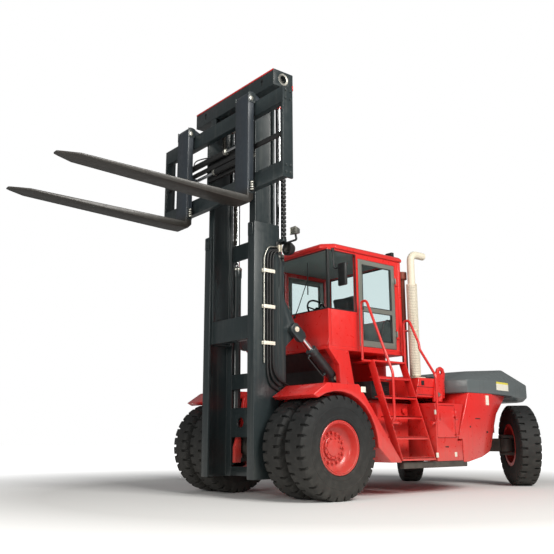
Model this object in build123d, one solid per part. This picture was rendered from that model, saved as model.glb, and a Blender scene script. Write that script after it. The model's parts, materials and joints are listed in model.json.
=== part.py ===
"""Heavy counterbalance forklift truck, mast raised, in millimetres.

+X is forward, +Y is left, +Z is up. The origin is on the ground, under the middle of the drive axle.
"""

from build123d import *
import math
import os

# Running gear: 14.00-25 tyres, twins in front and steered singles behind.
TYRE_R = 670
TYRE_W = 375
TREAD_W = 300
LUG_H = 38
LUGS = 20
LUG_SHARE = 0.74
RIB_HALF = 60
SIDEWALL_R = 560
RIM_R = 355
RIM_W = 330
RIM_LIP_R = 322
RIM_INNER_R = 300
DISH_R = 232
HUB_R = 150
HUB_RECESS = 165
HUB_PLATE = 40
TWIN_SPACING = 460
TRACK_FRONT = 2680
WHEELBASE = 4500
SPINDLE_R = 100
AXLE_R = 150
AXLE_END_R = 230
FIT = 0.3
RUN = 10

# Steer axle: the rear wheels stand turned, as parked.
KINGPIN_TRACK = 1900
KINGPIN_R = 55
KINGPIN_OFFSET = 220
STEER_ANGLE = 50
EYE_R = 110
BEAM_DEPTH = 220

# Mast: outer channels and inner beams, one pair each, between the front tyres.
MAST_TYRE_GAP = 72.5
MAST_HALF = TRACK_FRONT / 2 - TWIN_SPACING - TYRE_W / 2 - MAST_TYRE_GAP
MAST_FRONT = 735
MAST_REAR = 290
WEB = 25
FLANGE = 35
OUTER_FLANGE_W = 150
OUTER_BOTTOM = 260
OUTER_TOP = 3800
PIVOT_X = 220
PIVOT_Z = 550
PIVOT_R = 50
GAP = 5
INNER_BOTTOM = 2150
INNER_TOP = 5750
INNER_TIE_H = 330
HEAD_TOP = 6000
HEAD_HALF = 1010
HEAD_HOLE_R = 55

# Main frame and body.
RAIL_Y = MAST_HALF - 180
RAIL_T = 60
FRAME_BOTTOM = 880
FRAME_TOP = 1400
FRAME_FRONT = 140
BODY_WIDTH = 2900
BODY_HALF = BODY_WIDTH / 2
SHEET = 30
FENDER_TOP = 1500
FENDER_REAR = -1190
SKIRT_Z = 460
BOX_TOP = 1300
BOX_FRONT = -WHEELBASE * 67 / 150
HOOD_TOP = 1700
HOOD_HALF = 1110

# Tail, from the steer axle.
REAR_X = -WHEELBASE
HOOD_REAR = 0.6 * REAR_X
TAIL_END = REAR_X - 580
TAIL_ARCH = REAR_X + 260
FLANK_TOP = 1480
CAP_BAND = 1690
CAP_FRONT_Z = 1840
CAP_REAR_Z = 1950
CAP_UNDER = 80
ARCH_Y = BODY_HALF - 150

# Tilt cylinders.
TILT_Y = MAST_HALF + 45
TILT_MAST_PIN = (40, 2300)
TILT_BASE_PIN = (-700, 1650)
TILT_PIN_R = 30
TILT_PIN_PLAY = 16
TILT_EYE_R = 80
TILT_BARREL_R = 75
TILT_BARREL_L = 590
TILT_ROD_R = 42
TILT_ROD_L = 640

# Lift cylinders and chains.
LIFT_X = 205
LIFT_Y = MAST_HALF - 100
LIFT_FOOT = 950
LIFT_TOP = 3350
LIFT_BARREL_R = 70
LIFT_ROD_R = 45
CHAIN_Y = MAST_HALF - 320
CHAIN_W = 60
CHAIN_T = 40
LINK = 120
LINK_WAIST = 8
SHEAVE_R = 130
SHEAVE_X = 515
SHEAVE_Z = 5600

# Carriage and forks.
CARRIAGE_FRONT = 950
CARRIAGE_HALF = 1525
BAR_T = 100
UPPER_BAR = (5220, 5440)
LOWER_BAR = (4150, 4380)
END_PLATE_T = 35
END_PLATE_REAR = 775
ROLLER_PLATE_Y = MAST_HALF - 185
ROLLER_PLATE_T = 40
ROLLER_W = 60
ROLLER_R = 135
FORK_Y = 780
FORK_W = 300
FORK_T = 100
FORK_TOP_Z = 4020
FORK_LENGTH = 2650
FORK_TIP_T = 22
SHANK_REAR = 986
SHANK_TOP = 5560
POSITIONER_Z = (4930, 4700)
POSITIONER_R = 45
POSITIONER_ROD_R = 25
POSITIONER_REACH = 960
POSITIONER_BARREL = (-800, 150)

# Cab.
CAB_FRONT = -450
CAB_REAR = BOX_FRONT - 40
CAB_HALF = 850
CAB_FLOOR = 2050
FLOOR_T = 50
CAB_WALL = 60
POST = 70
CORNER_POST = 25
PANE = 10
WAIST = 2640
DOOR_REAR = CAB_REAR + 150
DOOR_FRONT = CAB_FRONT - 630
DOOR_SILL = 2130
DOOR_TOP = 3480
DOOR_GAP = 6
DOOR_T = 50
DOOR_RAIL = 80
CAB_ROOF = DOOR_TOP + 80
ROOF_T = 80
HINGE_OUT = 16
HINGE_R = 14
HINGE_PIN_R = 6
HINGE_H = 90

# Stairs.
STAIR_FRONT = FENDER_REAR - 25
STAIR_REAR = BOX_FRONT + 95
STAIR_TOP = (CAB_HALF + 150, 1930)
STAIR_FOOT = (BODY_HALF + 50, 480)
STAIR_STEPS = 5
STRINGER_T = 15
STRINGER_W = 130
RAIL_TUBE_R = 20

WHEEL_Z = TYRE_R
SIDES = (("left", 1), ("right", -1))
parts = {}


def box(x, y, z):
    """A block between the two ends given on each axis."""
    size = (abs(x[1] - x[0]), abs(y[1] - y[0]), abs(z[1] - z[0]))
    middle = ((x[0] + x[1]) / 2, (y[0] + y[1]) / 2, (z[0] + z[1]) / 2)
    return Pos(*middle) * Box(*size)


def pair_y(near, far, side):
    """The span from near to far of the middle plane, on one side."""
    return (side * near, side * far)


def plate_xz(points, y):
    """An outline in side view, between two planes across the truck."""
    face = make_face(Polyline(*points, close=True))
    low, high = min(y), max(y)
    return extrude(Plane((0, high, 0), x_dir=(1, 0, 0), z_dir=(0, -1, 0)) * face, high - low)


def plate_yz(points, x):
    """An outline in front view, between two planes along the truck."""
    face = make_face(Polyline(*points, close=True))
    low, high = min(x), max(x)
    return extrude(Plane((low, 0, 0), x_dir=(0, 1, 0), z_dir=(1, 0, 0)) * face, high - low)


def plate_xy(points, z):
    """An outline in plan, between two heights."""
    face = make_face(Polyline(*points, close=True))
    low, high = min(z), max(z)
    return extrude(Plane((0, 0, low)) * face, high - low)


def rod(start, end, radius):
    """A round bar from one point to another."""
    a, b = Vector(*start), Vector(*end)
    return extrude(Plane(a, z_dir=b - a) * Circle(radius), (b - a).length)


def ring_y(x, z, radius, bore, y):
    """A ring about an axis across the truck."""
    low, high = min(y), max(y)
    body = rod((x, low, z), (x, high, z), radius)
    return body - rod((x, low - 1, z), (x, high + 1, z), bore)


def tube(points, radius):
    """A round tube along straight runs with mitred corners."""
    path = Polyline(*points)
    return sweep(Plane(path @ 0, z_dir=path % 0) * Circle(radius), path=path, transition=Transition.RIGHT)


def turning(profile):
    """A solid of revolution about the wheel axis, from (radius, y) points."""
    face = make_face(Polyline(*profile, close=True))
    return revolve(Plane.XY * face, Axis.Y, 360)


def mirrored(shape):
    """The same shape on the other side of the truck."""
    return mirror(shape, about=Plane.XZ)


def both(shape):
    """A piece and its mirror image, as two solids of one node."""
    return Compound(children=[*shape.solids(), *mirrored(shape).solids()])


def joined(shapes):
    """All shapes fused into one."""
    total = shapes[0]
    for shape in shapes[1:]:
        total += shape
    return total


def below(shape, points):
    """What is left of a shape under the plane through three points."""
    a, b, c = (Vector(*p) for p in points)
    normal = (b - a).cross(c - a)
    if normal.Z < 0:
        normal = -normal
    return split(shape, bisect_by=Plane(a, z_dir=normal), keep=Keep.BOTTOM)


def turned(shape, y):
    """A rear wheel piece, turned about its kingpin to the parked steering angle."""
    return Pos(REAR_X, y, 0) * Rot(0, 0, STEER_ANGLE) * Pos(-REAR_X, -y, 0) * shape


def lug_outline(phase):
    """Corners of one half of the tread, seen along the axle: lugs with grooves between."""
    pitch = 2 * math.pi / LUGS
    root = TYRE_R - LUG_H
    points = []
    for lug in range(LUGS):
        start = (lug + phase) * pitch
        end = start + LUG_SHARE * pitch
        for radius, angle in ((root, start), (TYRE_R, start), (TYRE_R, end), (root, end)):
            points.append((radius * math.cos(angle), radius * math.sin(angle)))
    return points


def flat_ring(points, radius):
    """The groove corners of a lug outline, brought to another radius."""
    corners = [points[i] for i in range(len(points)) if i % 4 in (0, 3)]
    return [(x * radius / math.hypot(x, y), y * radius / math.hypot(x, y)) for x, y in corners]


def tyre():
    """One tyre about the Y axis: a rib round the middle, and lugs half a pitch apart on its two sides."""
    halves = []
    for side, phase in ((1, 0), (-1, 0.5)):
        lugs = lug_outline(phase)
        # Rings of the half: radius, distance from the tyre's middle.
        rings = ((TYRE_R - LUG_H, TREAD_W / 2), (SIDEWALL_R, TYRE_W / 2), (RIM_R, RIM_W / 2))
        planes = [Plane((0, side * y, 0), x_dir=(1, 0, 0), z_dir=(0, side, 0)) for _, y in rings]
        middle = Plane((0, 0, 0), x_dir=(1, 0, 0), z_dir=(0, side, 0))
        rib = flat_ring(lugs, TYRE_R)
        half = extrude(middle * make_face(Polyline(*lugs, close=True)), TREAD_W / 2)
        half += extrude(middle * make_face(Polyline(*rib, close=True)), RIB_HALF)
        faces = [
            plane * make_face(Polyline(*flat_ring(lugs, radius), close=True))
            for plane, (radius, _) in zip(planes, rings)
        ]
        for inner, outer in zip(faces, faces[1:]):
            half += loft([inner, outer], ruled=True)
        snug = RIM_R / math.cos(LUG_SHARE * math.pi / LUGS)
        bore = make_face(Polyline(*flat_ring(lugs, snug), close=True))
        halves.append(half - extrude(middle * bore, TYRE_W))
    return halves[0] + halves[1]


def rim(back, edge):
    """A rim open to the back, with its dished hub plate, from y=back to y=edge, about the Y axis."""
    plate = edge - HUB_RECESS
    seat = RIM_R - FIT
    return turning([
        (seat, back), (seat, edge), (RIM_LIP_R, edge), (RIM_LIP_R - 26, plate + 55), (DISH_R, plate),
        (HUB_R, plate), (HUB_R, plate + 30), (0, plate + 30), (0, plate + 5), (SPINDLE_R + FIT, plate + 5),
        (SPINDLE_R + FIT, plate - HUB_PLATE), (RIM_INNER_R, plate - HUB_PLATE), (RIM_INNER_R, back),
    ])


def front_wheels(plain_tyre):
    outer = TRACK_FRONT / 2
    inner = outer - TWIN_SPACING
    hub = Pos(0, 0, WHEEL_Z)
    rims = hub * rim(inner - RIM_W / 2, outer + RIM_W / 2)
    tyres = [hub * Pos(0, y, 0) * plain_tyre for y in (outer, inner)]
    parts["tyres_front_left"] = Compound(children=tyres)
    parts["tyres_front_right"] = Compound(children=[mirrored(t) for t in tyres])
    parts["rims_front_left"] = rims
    parts["rims_front_right"] = mirrored(rims)


def drive_axle():
    plate = TRACK_FRONT / 2 + RIM_W / 2 - HUB_RECESS
    hub_end = plate - HUB_PLATE - RUN
    back = TRACK_FRONT / 2 - TWIN_SPACING - RIM_W / 2
    half = [
        (0, 0), (270, 0), (270, 110), (AXLE_R, 240), (AXLE_R, back - 120), (AXLE_END_R, back - 60),
        (AXLE_END_R, hub_end), (SPINDLE_R, hub_end), (SPINDLE_R, plate), (0, plate),
    ]
    beam = Pos(0, 0, WHEEL_Z) * turning(half)
    body = beam + mirrored(beam)
    body += rod((-200, 0, WHEEL_Z), (-380, 0, WHEEL_Z), 200)
    for side in (1, -1):
        body += box((-150, 150), pair_y(RAIL_Y - RAIL_T - 40, RAIL_Y, side), (WHEEL_Z, FRAME_BOTTOM))
    parts["drive_axle"] = body


def steer_axle(plain_tyre):
    pin_y = KINGPIN_TRACK / 2
    half = BEAM_DEPTH / 2
    low, high = WHEEL_Z - half, WHEEL_Z + half
    beam = box((REAR_X - 120, REAR_X + 120), (-pin_y + 60, pin_y - 60), (low, high))
    beam += box((REAR_X - 180, REAR_X + 180), (-160, 160), (high, FRAME_BOTTOM))
    ear = 50
    web = (pin_y + EYE_R + RUN, pin_y + EYE_R + RUN + 45)
    bottom, top = low - RUN - ear, high + RUN + ear
    wheel_y = pin_y + KINGPIN_OFFSET
    edge = wheel_y + RIM_W / 2
    plate = edge - HUB_RECESS
    knuckle = rod((REAR_X, pin_y, bottom), (REAR_X, pin_y, top), KINGPIN_R)
    for z in ((bottom, bottom + ear), (top - ear, top)):
        knuckle += rod((REAR_X, pin_y, z[0]), (REAR_X, pin_y, z[1]), EYE_R)
        knuckle += box((REAR_X - EYE_R, REAR_X + EYE_R), (pin_y, web[1]), z)
    knuckle += box((REAR_X - EYE_R, REAR_X + EYE_R), web, (bottom, top))
    knuckle += rod((REAR_X, web[1], WHEEL_Z), (REAR_X, plate, WHEEL_Z), SPINDLE_R)
    hub = Pos(REAR_X, 0, WHEEL_Z)
    pieces = {
        "knuckle": knuckle,
        "tyre_rear": hub * Pos(0, wheel_y, 0) * plain_tyre,
        "rim_rear": hub * rim(wheel_y - RIM_W / 2, edge),
    }
    for name, side in SIDES:
        y = side * pin_y
        beam += rod((REAR_X, y, low), (REAR_X, y, high), EYE_R)
        beam -= rod((REAR_X, y, low - 1), (REAR_X, y, high + 1), KINGPIN_R + FIT)
        for node, piece in pieces.items():
            shape = piece if side > 0 else mirrored(piece)
            parts[f"{node}_{name}"] = turned(shape, y)
    parts["steer_axle"] = beam


def main_frame():
    rail_end = REAR_X - 420
    seat_front = PIVOT_X + 90
    rail_side = [
        (FRAME_FRONT, FRAME_TOP), (rail_end, FRAME_TOP), (rail_end, FRAME_BOTTOM), (200, FRAME_BOTTOM),
        (200, PIVOT_Z - 100), (seat_front, PIVOT_Z - 100), (seat_front, PIVOT_Z + 120),
        (PIVOT_X, FRAME_BOTTOM + 60),
    ]
    x, z = TILT_BASE_PIN
    ear_foot = FRAME_TOP - 120
    ear_side = [(x - 130, ear_foot), (x - 70, z + 90), (x + 70, z + 90), (x + 160, ear_foot)]
    ear_y = (TILT_Y - 120, TILT_Y - 95)
    shapes = []
    for side in (1, -1):
        shapes.append(plate_xz(rail_side, pair_y(RAIL_Y - RAIL_T, RAIL_Y, side)))
        pivot = (side * (RAIL_Y - 50), side * (RAIL_Y + 90))
        shapes.append(rod((PIVOT_X, pivot[0], PIVOT_Z), (PIVOT_X, pivot[1], PIVOT_Z), PIVOT_R))
        shapes.append(plate_xz(ear_side, pair_y(*ear_y, side)))
        shapes.append(box((x - 130, x + 160), pair_y(RAIL_Y - 1, ear_y[1], side), (ear_foot - 80, ear_foot)))
        shapes.append(rod((x, side * ear_y[0], z), (x, side * (TILT_Y + 55), z), TILT_PIN_R))
    # Cross members: rear face, length.
    across = (-RAIL_Y + 10, RAIL_Y - 10)
    for rear, length in ((100, 40), (-1500, 120), (0.49 * REAR_X, 120), (0.8 * REAR_X, 120)):
        shapes.append(box((rear, rear + length), across, (FRAME_BOTTOM + 80, FRAME_TOP)))
    shapes.append(box((REAR_X - 180, REAR_X + 180), across, (FRAME_BOTTOM, FRAME_TOP)))
    # Cab seat: a deck plate with a pedestal at each end, the front one raked below the cab.
    deck = FRAME_TOP + 60
    half = RAIL_Y + 120
    shapes.append(box((CAB_REAR + 100, CAB_FRONT - 230), (-half, half), (FRAME_TOP, deck)))
    shapes.append(box((CAB_REAR + 100, CAB_REAR + 300), (-half, half), (deck, CAB_FLOOR)))
    raked = [
        (CAB_FRONT - 230, deck), (CAB_FRONT - 230, deck + 330), (CAB_FRONT - 60, CAB_FLOOR),
        (CAB_FRONT - 480, CAB_FLOOR), (CAB_FRONT - 480, deck),
    ]
    shapes.append(plate_xz(raked, (-half + 60, half - 60)))
    # Side plates under the front of the cab, outside the tilt cylinders, on outriggers from the rails.
    ledge = FRAME_TOP - 100
    cheek = [
        (CAB_FRONT, CAB_FLOOR), (CAB_FRONT - 195, CAB_FLOOR - 220), (CAB_FRONT - 230, ledge),
        (CAB_FRONT - 550, ledge), (CAB_FRONT - 390, CAB_FLOOR),
    ]
    cheek_y = (TILT_Y + 95, CAB_HALF)
    for side in (1, -1):
        shapes.append(plate_xz(cheek, pair_y(*cheek_y, side)))
        outrigger = (CAB_FRONT - 550, CAB_FRONT - 230)
        shapes.append(box(outrigger, pair_y(RAIL_Y - 1, CAB_HALF, side), (ledge, FRAME_TOP)))
    parts["main_frame"] = joined(shapes)
    engine = (0.8 * REAR_X + 120, 0.49 * REAR_X)
    parts["engine_block"] = box(engine, (-RAIL_Y + 110, RAIL_Y - 110), (FRAME_BOTTOM, FRAME_TOP))


def fenders():
    inner = TRACK_FRONT / 2 - 690
    outer = TRACK_FRONT / 2 + 160
    arch = TYRE_R + 55
    arc = [
        (arch * math.cos(math.radians(a)), WHEEL_Z + arch * math.sin(math.radians(a)))
        for a in range(180, 55, -12)
    ]
    outline = [
        (450, FENDER_TOP - 160), (200, FENDER_TOP), (-380, FENDER_TOP), (FENDER_REAR, SKIRT_Z),
        (FENDER_REAR + 220, SKIRT_Z), *arc,
    ]
    shell = plate_xz(outline, (inner, outer))
    bracket_x = (FENDER_REAR + 90, FENDER_REAR + 430)
    shell += box(bracket_x, (RAIL_Y, inner + 1), (FRAME_BOTTOM + 60, FRAME_TOP - 220))
    parts["fenders"] = both(shell)


def hinge_pair(x, y, heights):
    """Eyes for a leaf that opens outwards from a rear edge, and the pins that carry them."""
    axis_y = y + HINGE_OUT
    eyes, pins = [], []
    for z in heights:
        eye = rod((x, axis_y, z), (x, axis_y, z + HINGE_H), HINGE_R)
        eye += box((x, x + 60), (y, y + 6), (z, z + HINGE_H))
        eyes.append(eye - rod((x, axis_y, z - 1), (x, axis_y, z + HINGE_H + 1), HINGE_PIN_R + FIT))
        pin = rod((x, axis_y, z - 12), (x, axis_y, z + HINGE_H + 8), HINGE_PIN_R)
        pins.append(pin + box((x - 60, x + 8), (y, axis_y + 8), (z - 30, z - 2)))
    return eyes, pins


def side_boxes():
    """A locker on each side with a raked rear edge; the left one opens."""
    low_rear = HOOD_REAR + 90
    shelf = 750
    outline = [
        (BOX_FRONT, SKIRT_Z), (BOX_FRONT, BOX_TOP), (HOOD_REAR + 20, BOX_TOP), (HOOD_REAR + 200, shelf),
        (low_rear, shelf), (low_rear, SKIRT_Z),
    ]
    shell = plate_xz(outline, (RAIL_Y, BODY_HALF))
    right = mirrored(shell)
    opening_x = (HOOD_REAR + 230, BOX_FRONT - SHEET)
    opening_z = (shelf + 40, BOX_TOP - SHEET)
    shell -= box(opening_x, (RAIL_Y + 260, BODY_HALF + 1), opening_z)
    eyes, pins = hinge_pair(opening_x[0], BODY_HALF, (opening_z[0] + 50, opening_z[1] - 170))
    parts["side_boxes"] = Compound(children=[joined([shell, *pins]), right])
    leaf_x = (opening_x[0] + DOOR_GAP, opening_x[1] - DOOR_GAP)
    leaf_z = (opening_z[0] + DOOR_GAP, opening_z[1] - DOOR_GAP)
    leaf = box(leaf_x, (BODY_HALF - SHEET, BODY_HALF), leaf_z)
    latch = box((leaf_x[1] - 80, leaf_x[1] - 50), (BODY_HALF, BODY_HALF + 25), (1060, 1150))
    parts["box_door"] = joined([leaf, latch, *eyes])


def stairs():
    foot_y, foot_z = STAIR_FOOT
    top_y, top_z = STAIR_TOP
    across = (STAIR_REAR, STAIR_FRONT + STRINGER_T)
    slope = [(foot_y, foot_z), (foot_y - STRINGER_W, foot_z), (top_y - STRINGER_W, top_z), (top_y, top_z)]
    shapes = [plate_yz(slope, (x, x + STRINGER_T)) for x in (STAIR_FRONT, STAIR_REAR)]
    for step in range(STAIR_STEPS):
        share = step / STAIR_STEPS
        y = foot_y + (top_y - foot_y) * share
        z = foot_z + (top_z - foot_z) * share + 20
        shapes.append(box(across, (y - 200, y - 12), (z, z + 25)))
    shapes.append(box(across, (RAIL_Y + 120, top_y), (top_z - 30, top_z)))
    shapes.append(box(across, (RAIL_Y, foot_y - STRINGER_W + 10), (foot_z, foot_z + 30)))
    # Handrails: x, height of the bend, x of the stringer face that carries the tube.
    post_y = top_y - 60
    low_z = 1000
    clear_of_door = DOOR_FRONT + 45
    rails = ((clear_of_door, 2790, STAIR_FRONT), (STAIR_REAR - 60, 2580, STAIR_REAR + STRINGER_T))
    for x, high, face in rails:
        run = [
            (x, post_y, top_z - 15), (x, post_y, high - 60), (x, post_y + 35, high),
            (x, top_y + 40, high - 10), (x, foot_y + 20, 1690), (x, foot_y + 20, 1050),
            (x, foot_y - 60, low_z),
        ]
        shapes.append(tube(run, RAIL_TUBE_R))
        shapes.append(rod((face, post_y, top_z - 20), (x, post_y, top_z - 20), RAIL_TUBE_R))
        shapes.append(rod((x, foot_y - 60, low_z), (face, foot_y - 60, low_z), RAIL_TUBE_R))
    parts["stairs"] = both(joined(shapes))


def hood_and_counterweight():
    hood_side = [
        (CAB_REAR + 60, FRAME_TOP), (CAB_REAR - 30, HOOD_TOP), (HOOD_REAR, HOOD_TOP), (HOOD_REAR, FRAME_TOP),
    ]
    parts["engine_hood"] = plate_xz(hood_side, (-HOOD_HALF, HOOD_HALF))
    # Flank: front edge, raked with the locker; then the wheel arch down to the skirt.
    flank_side = [
        (HOOD_REAR - 130, FLANK_TOP), (TAIL_ARCH, FLANK_TOP), (REAR_X + 740, 1170), (REAR_X + 835, 980),
        (REAR_X + 950, 650), (REAR_X + 1040, 570), (HOOD_REAR - 60, SKIRT_Z - 25),
        (HOOD_REAR + 65, SKIRT_Z - 25), (HOOD_REAR + 65, 775), (HOOD_REAR + 175, 775),
    ]
    flank = plate_xz(flank_side, (RAIL_Y, BODY_HALF))
    # The rear edge of the flank turns inwards along a raked crease: z, x of the crease.
    corners = []
    for z, crease in ((SKIRT_Z - 30, REAR_X + 1430), (FLANK_TOP + 1, REAR_X + 1070)):
        away = crease - 1000
        outside = BODY_HALF + 1
        drop = (BODY_HALF - ARCH_Y) * 1000 / 430
        face = make_face(Polyline((crease, outside), (away, outside), (away, outside - drop), close=True))
        corners.append(Plane((0, 0, z)) * face)
    flank -= loft(corners, ruled=True)
    mass = box((TAIL_END + 100, REAR_X - 420), (-RAIL_Y + 100, RAIL_Y - 100), (620, FRAME_TOP))
    parts["counterweight"] = Compound(children=[*both(flank).solids(), mass])
    parts["counterweight_cap"] = tail_cap()
    hitch_x = (TAIL_END - 30, TAIL_END + 100)
    hitch = box((TAIL_END + 80, TAIL_END + 100), (-110, 110), (680, 880))
    for z in ((700, 740), (820, 860)):
        hitch += box(hitch_x, (-80, 80), z)
    pin_x = TAIL_END + 25
    parts["tow_hitch"] = hitch - rod((pin_x, 0, 690), (pin_x, 0, 870), 27)
    lug_side = [
        (HOOD_REAR + 330, 1340), (HOOD_REAR + 240, 1780), (HOOD_REAR + 200, 1860), (HOOD_REAR + 130, 1890),
        (HOOD_REAR + 60, 1860), (HOOD_REAR + 30, 1780), (HOOD_REAR + 130, 1340),
    ]
    eye_y = (HOOD_HALF, HOOD_HALF + 40)
    lug = plate_xz(lug_side, eye_y)
    for x, z in ((HOOD_REAR + 130, 1800), (HOOD_REAR + 220, 1450)):
        lug -= rod((x, eye_y[0] - 1, z), (x, eye_y[1] + 1, z), 35)
    parts["lifting_lugs"] = both(lug)


def tail_plan(front):
    """Plan of the tail from its front line to the rear end."""
    left = [
        (HOOD_REAR, HOOD_HALF), (HOOD_REAR - 130, BODY_HALF), (HOOD_REAR - 800, BODY_HALF),
        (TAIL_END + 200, BODY_HALF - 270), (TAIL_END, BODY_HALF - 520),
    ]
    if front < HOOD_REAR:
        share = (front - left[2][0]) / (left[3][0] - left[2][0])
        left = [(front, left[2][1] + share * (left[3][1] - left[2][1])), *left[3:]]
    return left, [(x, -y) for x, y in reversed(left)]


def tail_cap():
    """Counterweight cover: an upright band, flats that slope in to a top, and a chamfered underside."""
    left, right = tail_plan(HOOD_REAR)
    cap = plate_xy([*left, *right], (FLANK_TOP, CAP_REAR_Z))
    top_y = BODY_HALF - 340
    front_top = (HOOD_REAR - 350, 0, CAP_FRONT_Z)
    rear_top = (TAIL_END + 600, 0, CAP_REAR_Z)
    band = [(x, y, CAP_BAND) for x, y in left]
    # Each flat runs from an edge of the band to a point on the top.
    flats = [
        (band[0], band[1], (HOOD_REAR - 500, top_y, CAP_FRONT_Z + 20)),
        (band[1], band[2], (HOOD_REAR - 800, top_y, CAP_FRONT_Z + 50)),
        (band[2], band[3], (TAIL_END + 600, top_y - 100, CAP_REAR_Z)),
        (band[3], band[4], (TAIL_END + 600, top_y - 250, CAP_REAR_Z)),
    ]
    for a, b, c in flats:
        cap = below(cap, (a, b, c))
        cap = below(cap, [(x, -y, z) for x, y, z in (a, b, c)])
    cap = below(cap, (band[4], (band[4][0], 0, CAP_BAND), rear_top))
    cap = below(cap, ((HOOD_REAR, 0, CAP_BAND), (HOOD_REAR, 1, CAP_BAND), front_top))
    cap = below(cap, (front_top, (front_top[0], 1, front_top[2]), rear_top))
    left, right = tail_plan(TAIL_ARCH - RUN)
    under = plate_xy([*left, *right], (FLANK_TOP - CAP_UNDER, FLANK_TOP))
    under = chamfer(under.edges().group_by(Axis.Z)[0], CAP_UNDER - 5)
    return cap + under


def exhaust():
    x, y = CAB_REAR - 130, HOOD_HALF - 150
    top = 3620
    bend = [
        (x, y, HOOD_TOP), (x, y, top - 40), (x - 25, y, top + 35), (x - 90, y, top + 80), (x - 310, y, top + 80),
    ]
    parts["exhaust_stack"] = tube(bend, 60) + rod((x, y, HOOD_TOP), (x, y, 3200), 85)
    pipe = rod((x + 20, y - 180, HOOD_TOP), (x + 20, y - 180, 3300), 45)
    parts["intake_pipe"] = pipe + rod((x + 20, y - 180, 3300), (x + 20, y - 180, 3420), 80)


def cab():
    half, wall = CAB_HALF, CAB_WALL
    low = CAB_FLOOR + FLOOR_T
    glass_z = (WAIST, CAB_ROOF - 30)
    parts["cab_floor"] = box((CAB_REAR, CAB_FRONT), (-half, half), (CAB_FLOOR, low))
    panes = []
    # End walls: node, rear face, width of its posts, rear face of its pane.
    ends = (
        ("cab_front", CAB_FRONT - wall, CORNER_POST, CAB_FRONT - 2 * PANE),
        ("cab_rear", CAB_REAR, POST, CAB_REAR + 30),
    )
    for node, rear, post, pane in ends:
        panel = box((rear, rear + wall), (-half, half), (low, CAB_ROOF))
        across = (-half + post, half - post)
        parts[node] = panel - box((rear - 1, rear + wall + 1), across, glass_z)
        panes.append(box((pane, pane + PANE), across, glass_z))
    # The front posts are slim, so that the glass seems to run round the corner.
    corner = CAB_FRONT - CORNER_POST
    for sign in (1, -1):
        slot = pair_y(half - wall, half + 1, sign)
        parts["cab_front"] -= box((CAB_FRONT - wall - 1, corner), slot, glass_z)
    side = box((CAB_REAR + wall, CAB_FRONT - wall), (half - wall, half), (low, CAB_ROOF))
    through = (half - wall - 1, half + 1)
    side -= box((DOOR_REAR, DOOR_FRONT), through, (DOOR_SILL, DOOR_TOP))
    side -= box((DOOR_FRONT + 50, CAB_FRONT), through, glass_z)
    eyes, pins = hinge_pair(DOOR_REAR, half, (DOOR_SILL + 200, DOOR_TOP - 300))
    parts["cab_sides"] = both(joined([side, *pins]))
    pane = box((DOOR_FRONT + 50, corner), (half - 2 * PANE, half - PANE), glass_z)
    parts["cab_glass"] = Compound(children=[*panes, pane, mirrored(pane)])
    parts["cab_roof"] = cab_roof()
    leaf_x = (DOOR_REAR + DOOR_GAP, DOOR_FRONT - DOOR_GAP)
    door = box(leaf_x, (half - DOOR_T, half), (DOOR_SILL + DOOR_GAP, DOOR_TOP - DOOR_GAP))
    opening = (leaf_x[0] + DOOR_RAIL, leaf_x[1] - DOOR_RAIL)
    glass = []
    for z in ((DOOR_SILL + 100, WAIST + 30), (WAIST + 100, DOOR_TOP - DOOR_RAIL)):
        door -= box(opening, (half - DOOR_T - 1, half + 1), z)
        glass.append(box(opening, (half - 30, half - 30 + PANE), z))
    handle = box((leaf_x[1] - 70, leaf_x[1] - 40), (half, half + 30), (WAIST + 40, WAIST + 95))
    parts["door_left"] = joined([door, handle, *eyes])
    parts["door_right"] = mirrored(parts["door_left"])
    parts["door_glass_left"] = Compound(children=glass)
    parts["door_glass_right"] = Compound(children=[mirrored(g) for g in glass])


def cab_roof():
    """Roof with a raked edge, corners cut off at the front, and a low hatch at the back."""
    edge = 30
    cut = 140
    plan = [
        (CAB_REAR - edge, CAB_HALF), (CAB_REAR - edge, -CAB_HALF), (CAB_REAR, -CAB_HALF - edge),
        (CAB_FRONT - cut, -CAB_HALF - edge), (CAB_FRONT + edge, -CAB_HALF + cut),
        (CAB_FRONT + edge, CAB_HALF - cut), (CAB_FRONT - cut, CAB_HALF + edge), (CAB_REAR, CAB_HALF + edge),
    ]
    roof = plate_xy(plan, (CAB_ROOF, CAB_ROOF + ROOF_T))
    roof = chamfer(roof.edges().group_by(Axis.Z)[-1], ROOF_T / 2)
    top = CAB_ROOF + ROOF_T
    return roof + box((CAB_REAR + 120, CAB_REAR + 800), (-450, 450), (top, top + 35))


def driver_place():
    low = CAB_FLOOR + FLOOR_T
    cushion = (CAB_REAR + 400, CAB_REAR + 870)
    cushion_top = low + 370
    seat = box(cushion, (-260, 260), (low, cushion_top))
    back = [
        (cushion[0], cushion_top - 70), (cushion[0] + 130, cushion_top), (cushion[0] + 10, cushion_top + 610),
        (cushion[0] - 110, cushion_top + 610),
    ]
    parts["seat"] = seat + plate_xz(back, (-250, 250))
    front = CAB_FRONT - CAB_WALL
    dash = box((front - 260, front), (-400, 400), (low, WAIST - 20))
    hub = (front - 500, 0, WAIST + 140)
    column = (front - 250, 0, WAIST - 80)
    dash += rod(column, hub, 45)
    lean = Vector(*hub) - Vector(*column)
    disc = Plane(hub, z_dir=lean)
    wheel_r, grip = 190, 16
    ring = extrude(disc * Circle(wheel_r + grip), grip, both=True)
    ring -= extrude(disc * Circle(wheel_r - grip), 2 * grip, both=True)
    spoke = disc * Box(2 * wheel_r, 40, 2 * grip)
    parts["dash_and_wheel"] = joined([dash, ring, spoke])


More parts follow.
